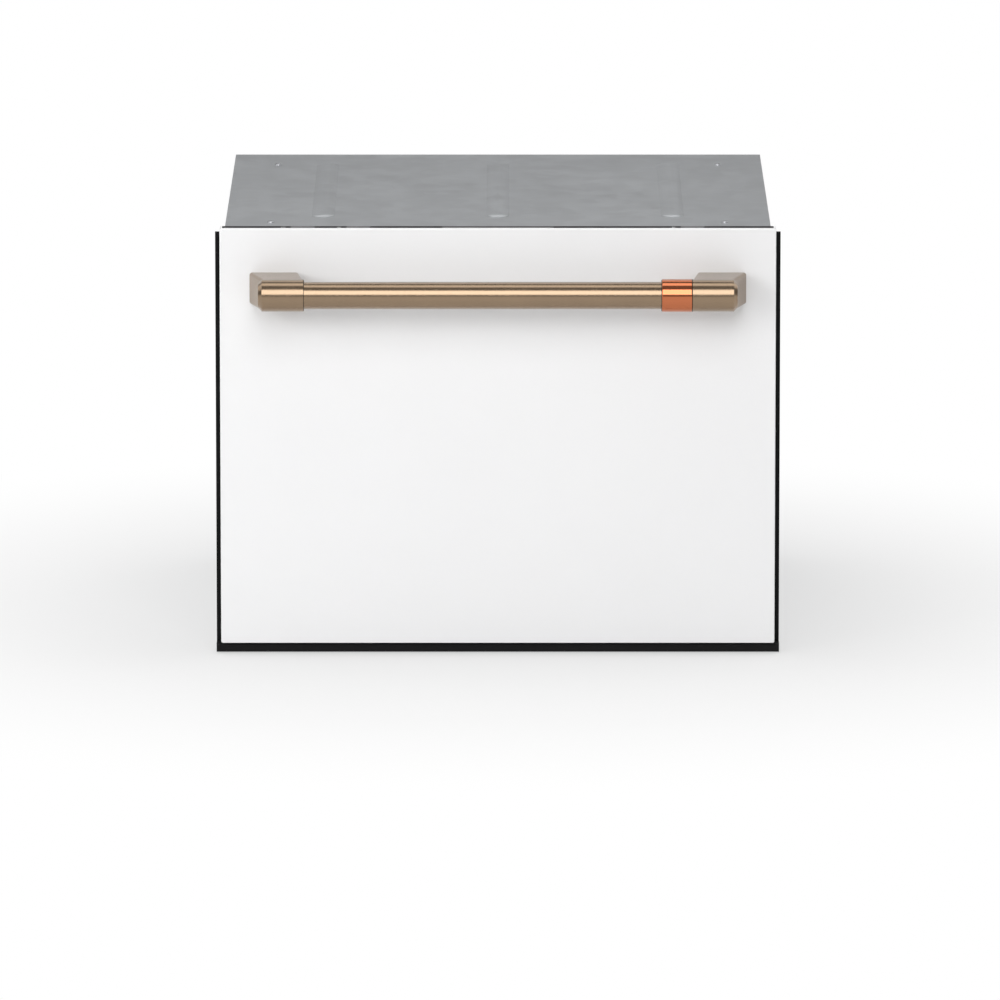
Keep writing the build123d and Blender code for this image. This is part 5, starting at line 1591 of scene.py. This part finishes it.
@dataclass(frozen=True)
class Studio:
    """The floor, the light and the camera.

    Attributes:
        floor_size: The floor's length and width.
        floor_colour: The floor's colour.
        floor_roughness: Its roughness.
        floor_shine: Its specular level.
        floor_glow: How much of the floor is plain white at the machine.
        floor_fade: How far from the machine's middle it starts to be whiter, and is all white.
        rays: The rays that see the white.
        sky: How bright the room is overhead.
        horizon: How bright it is along the floor's edge.
        horizon_height: How far that brightness reaches up, as a direction's Z.
        image: The picture's width and height, in pixels.
        sensor: The camera's sensor width, in millimetres.
        focal: The lens, in pixels.
        clip: The nearest and farthest distance that the camera sees.
        distance: How far the camera is from the drawer front.
        pitch: How far the camera looks down, in degrees.
        aim: The point of the drawer front's plane at the picture's middle.
        lamps: The soft boxes.
    """

    floor_size: float = 80.0
    floor_colour: Colour = (0.7, 0.7, 0.7)
    floor_roughness: float = 0.9
    floor_shine: float = 0.1
    floor_glow: float = 0.55
    floor_fade: Pair = (0.35, 1.0)
    rays: tuple[str, ...] = ("Is Camera Ray", "Is Glossy Ray", "Is Transmission Ray")
    sky: float = 0.3
    horizon: float = 1.0
    horizon_height: float = 0.05
    image: float = 1000.0
    sensor: float = 36.0
    focal: float = 11108.0
    clip: Pair = (0.1, 200.0)
    distance: float = 12.0
    pitch: float = 10.5
    aim: Place = (0.00234, -0.25455, 0.17053)
    lamps: tuple[Lamp, ...] = (
        Lamp("key", (0.0, -2.9, 2.1), (0.0, -0.3, 0.4), 1.5, 2.0, 3.7),
        Lamp("front_fill", (-3.0, -4.4, 1.9), (0.0, -0.25, 0.25), 2.4, 2.4, 3.2, shows=False),
        Lamp("left_front", (-2.1, -1.75, 0.95), (0.0, -0.25, 0.25), 1.3, 1.3, 2.3),
        Lamp("right_front", (2.5, -2.1, 0.95), (0.0, -0.25, 0.25), 1.3, 1.3, 0.45),
        Lamp("overhead", (0.0, -0.1, 2.8), (0.0, 0.0, 0.0), 3.0, 1.0, 1.6),
        Lamp("top_fill", (0.0, 0.3, 3.4), (0.0, -0.2, 0.2), 2.6, 2.0, 1.8, shows=False),
        Lamp("rear_top", (0.0, 2.2, 2.9), (0.0, 0.2, 0.2), 3.0, 1.2, 1.2),
        Lamp("left_fill", (-4.0, 1.5, 2.6), (0.0, 0.0, 0.2), 2.5, 2.0, 1.1),
        Lamp("right_fill", (3.6, 2.4, 2.6), (0.0, 0.0, 0.2), 2.5, 2.0, 1.1),
    )

    def lay_floor(self) -> None:
        """Lays the floor, which fades to white away from the machine."""
        bpy.ops.mesh.primitive_plane_add(size=self.floor_size)
        floor = bpy.context.object
        floor.name = "studio_floor"
        paper = bpy.data.materials.new("studio_paper")
        paper.use_nodes = True
        bench = NodeBench(paper.node_tree)
        shader = paper.node_tree.nodes["Principled BSDF"]
        bench.feed(shader, {"Base Color": self.floor_colour, "Roughness": self.floor_roughness,
                            "Specular IOR Level": self.floor_shine})
        place = bench.node("ShaderNodeTexCoord", out="Object")
        away = bench.node("ShaderNodeVectorMath", {"operation": "LENGTH"}, {0: place}, out="Value")
        seen = sum(bench.node("ShaderNodeLightPath", out=ray) for ray in self.rays)
        share = (self.floor_glow + bench.eased(away, *self.floor_fade) * (1.0 - self.floor_glow)) * seen
        white = bench.node("ShaderNodeEmission", sockets={"Color": (1.0, 1.0, 1.0), "Strength": 1.0})
        mixed = bench.node("ShaderNodeMixShader",
                           sockets={0: share, 1: Wire(bench.tree, shader.outputs[0]), 2: white})
        bench.feed(paper.node_tree.nodes["Material Output"], {"Surface": mixed})
        floor.data.materials.append(paper)

    def light_room(self) -> None:
        """Lights the room: pale along the floor's edge and greyer overhead."""
        world = bpy.data.worlds.new("studio_room")
        world.use_nodes = True
        bpy.context.scene.world = world
        bench = NodeBench(world.node_tree)
        towards = bench.node("ShaderNodeTexCoord", out="Generated")
        height = bench.node("ShaderNodeSeparateXYZ", sockets={"Vector": towards}, out="Z")
        share = bench.eased(height, 0.0, self.horizon_height)
        colour = bench.blended(share, (self.horizon,) * 3, (self.sky,) * 3)
        bench.feed(world.node_tree.nodes["Background"], {"Color": colour})
        for lamp in self.lamps:
            lamp.build()

    def set_camera(self) -> None:
        """Sets the camera at the picture's angle."""
        data = bpy.data.cameras.new("picture_camera")
        data.sensor_width = self.sensor
        data.lens = self.sensor * self.focal / self.image
        data.clip_start, data.clip_end = self.clip
        camera = bpy.data.objects.new("picture_camera", data)
        tilt = math.radians(self.pitch)
        back = Vector((0.0, -math.cos(tilt), math.sin(tilt)))
        camera.matrix_world = aimed(Vector(self.aim) + back * self.distance, Vector(self.aim))
        bpy.context.scene.collection.objects.link(camera)
        bpy.context.scene.camera = camera

    def build(self) -> None:
        """Builds the studio."""
        self.lay_floor()
        self.light_room()
        self.set_camera()
        bpy.context.scene.view_settings.view_transform = "Standard"


def main() -> None:
    """Builds and dresses the whole scene."""
    logging.basicConfig(level=logging.INFO, format="%(name)s: %(message)s")
    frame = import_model()
    for assembly in ASSEMBLIES:
        assembly.dress(frame)
    for fittings in (ShellPressings(), ShellFixings(), ServiceFittings(), HandleJointShade(), DeadeningPads(),
                     DispenserTrim(), ControlMarks()):
        fittings.build()
    Studio().build()


if __name__ == "__main__":
    main()
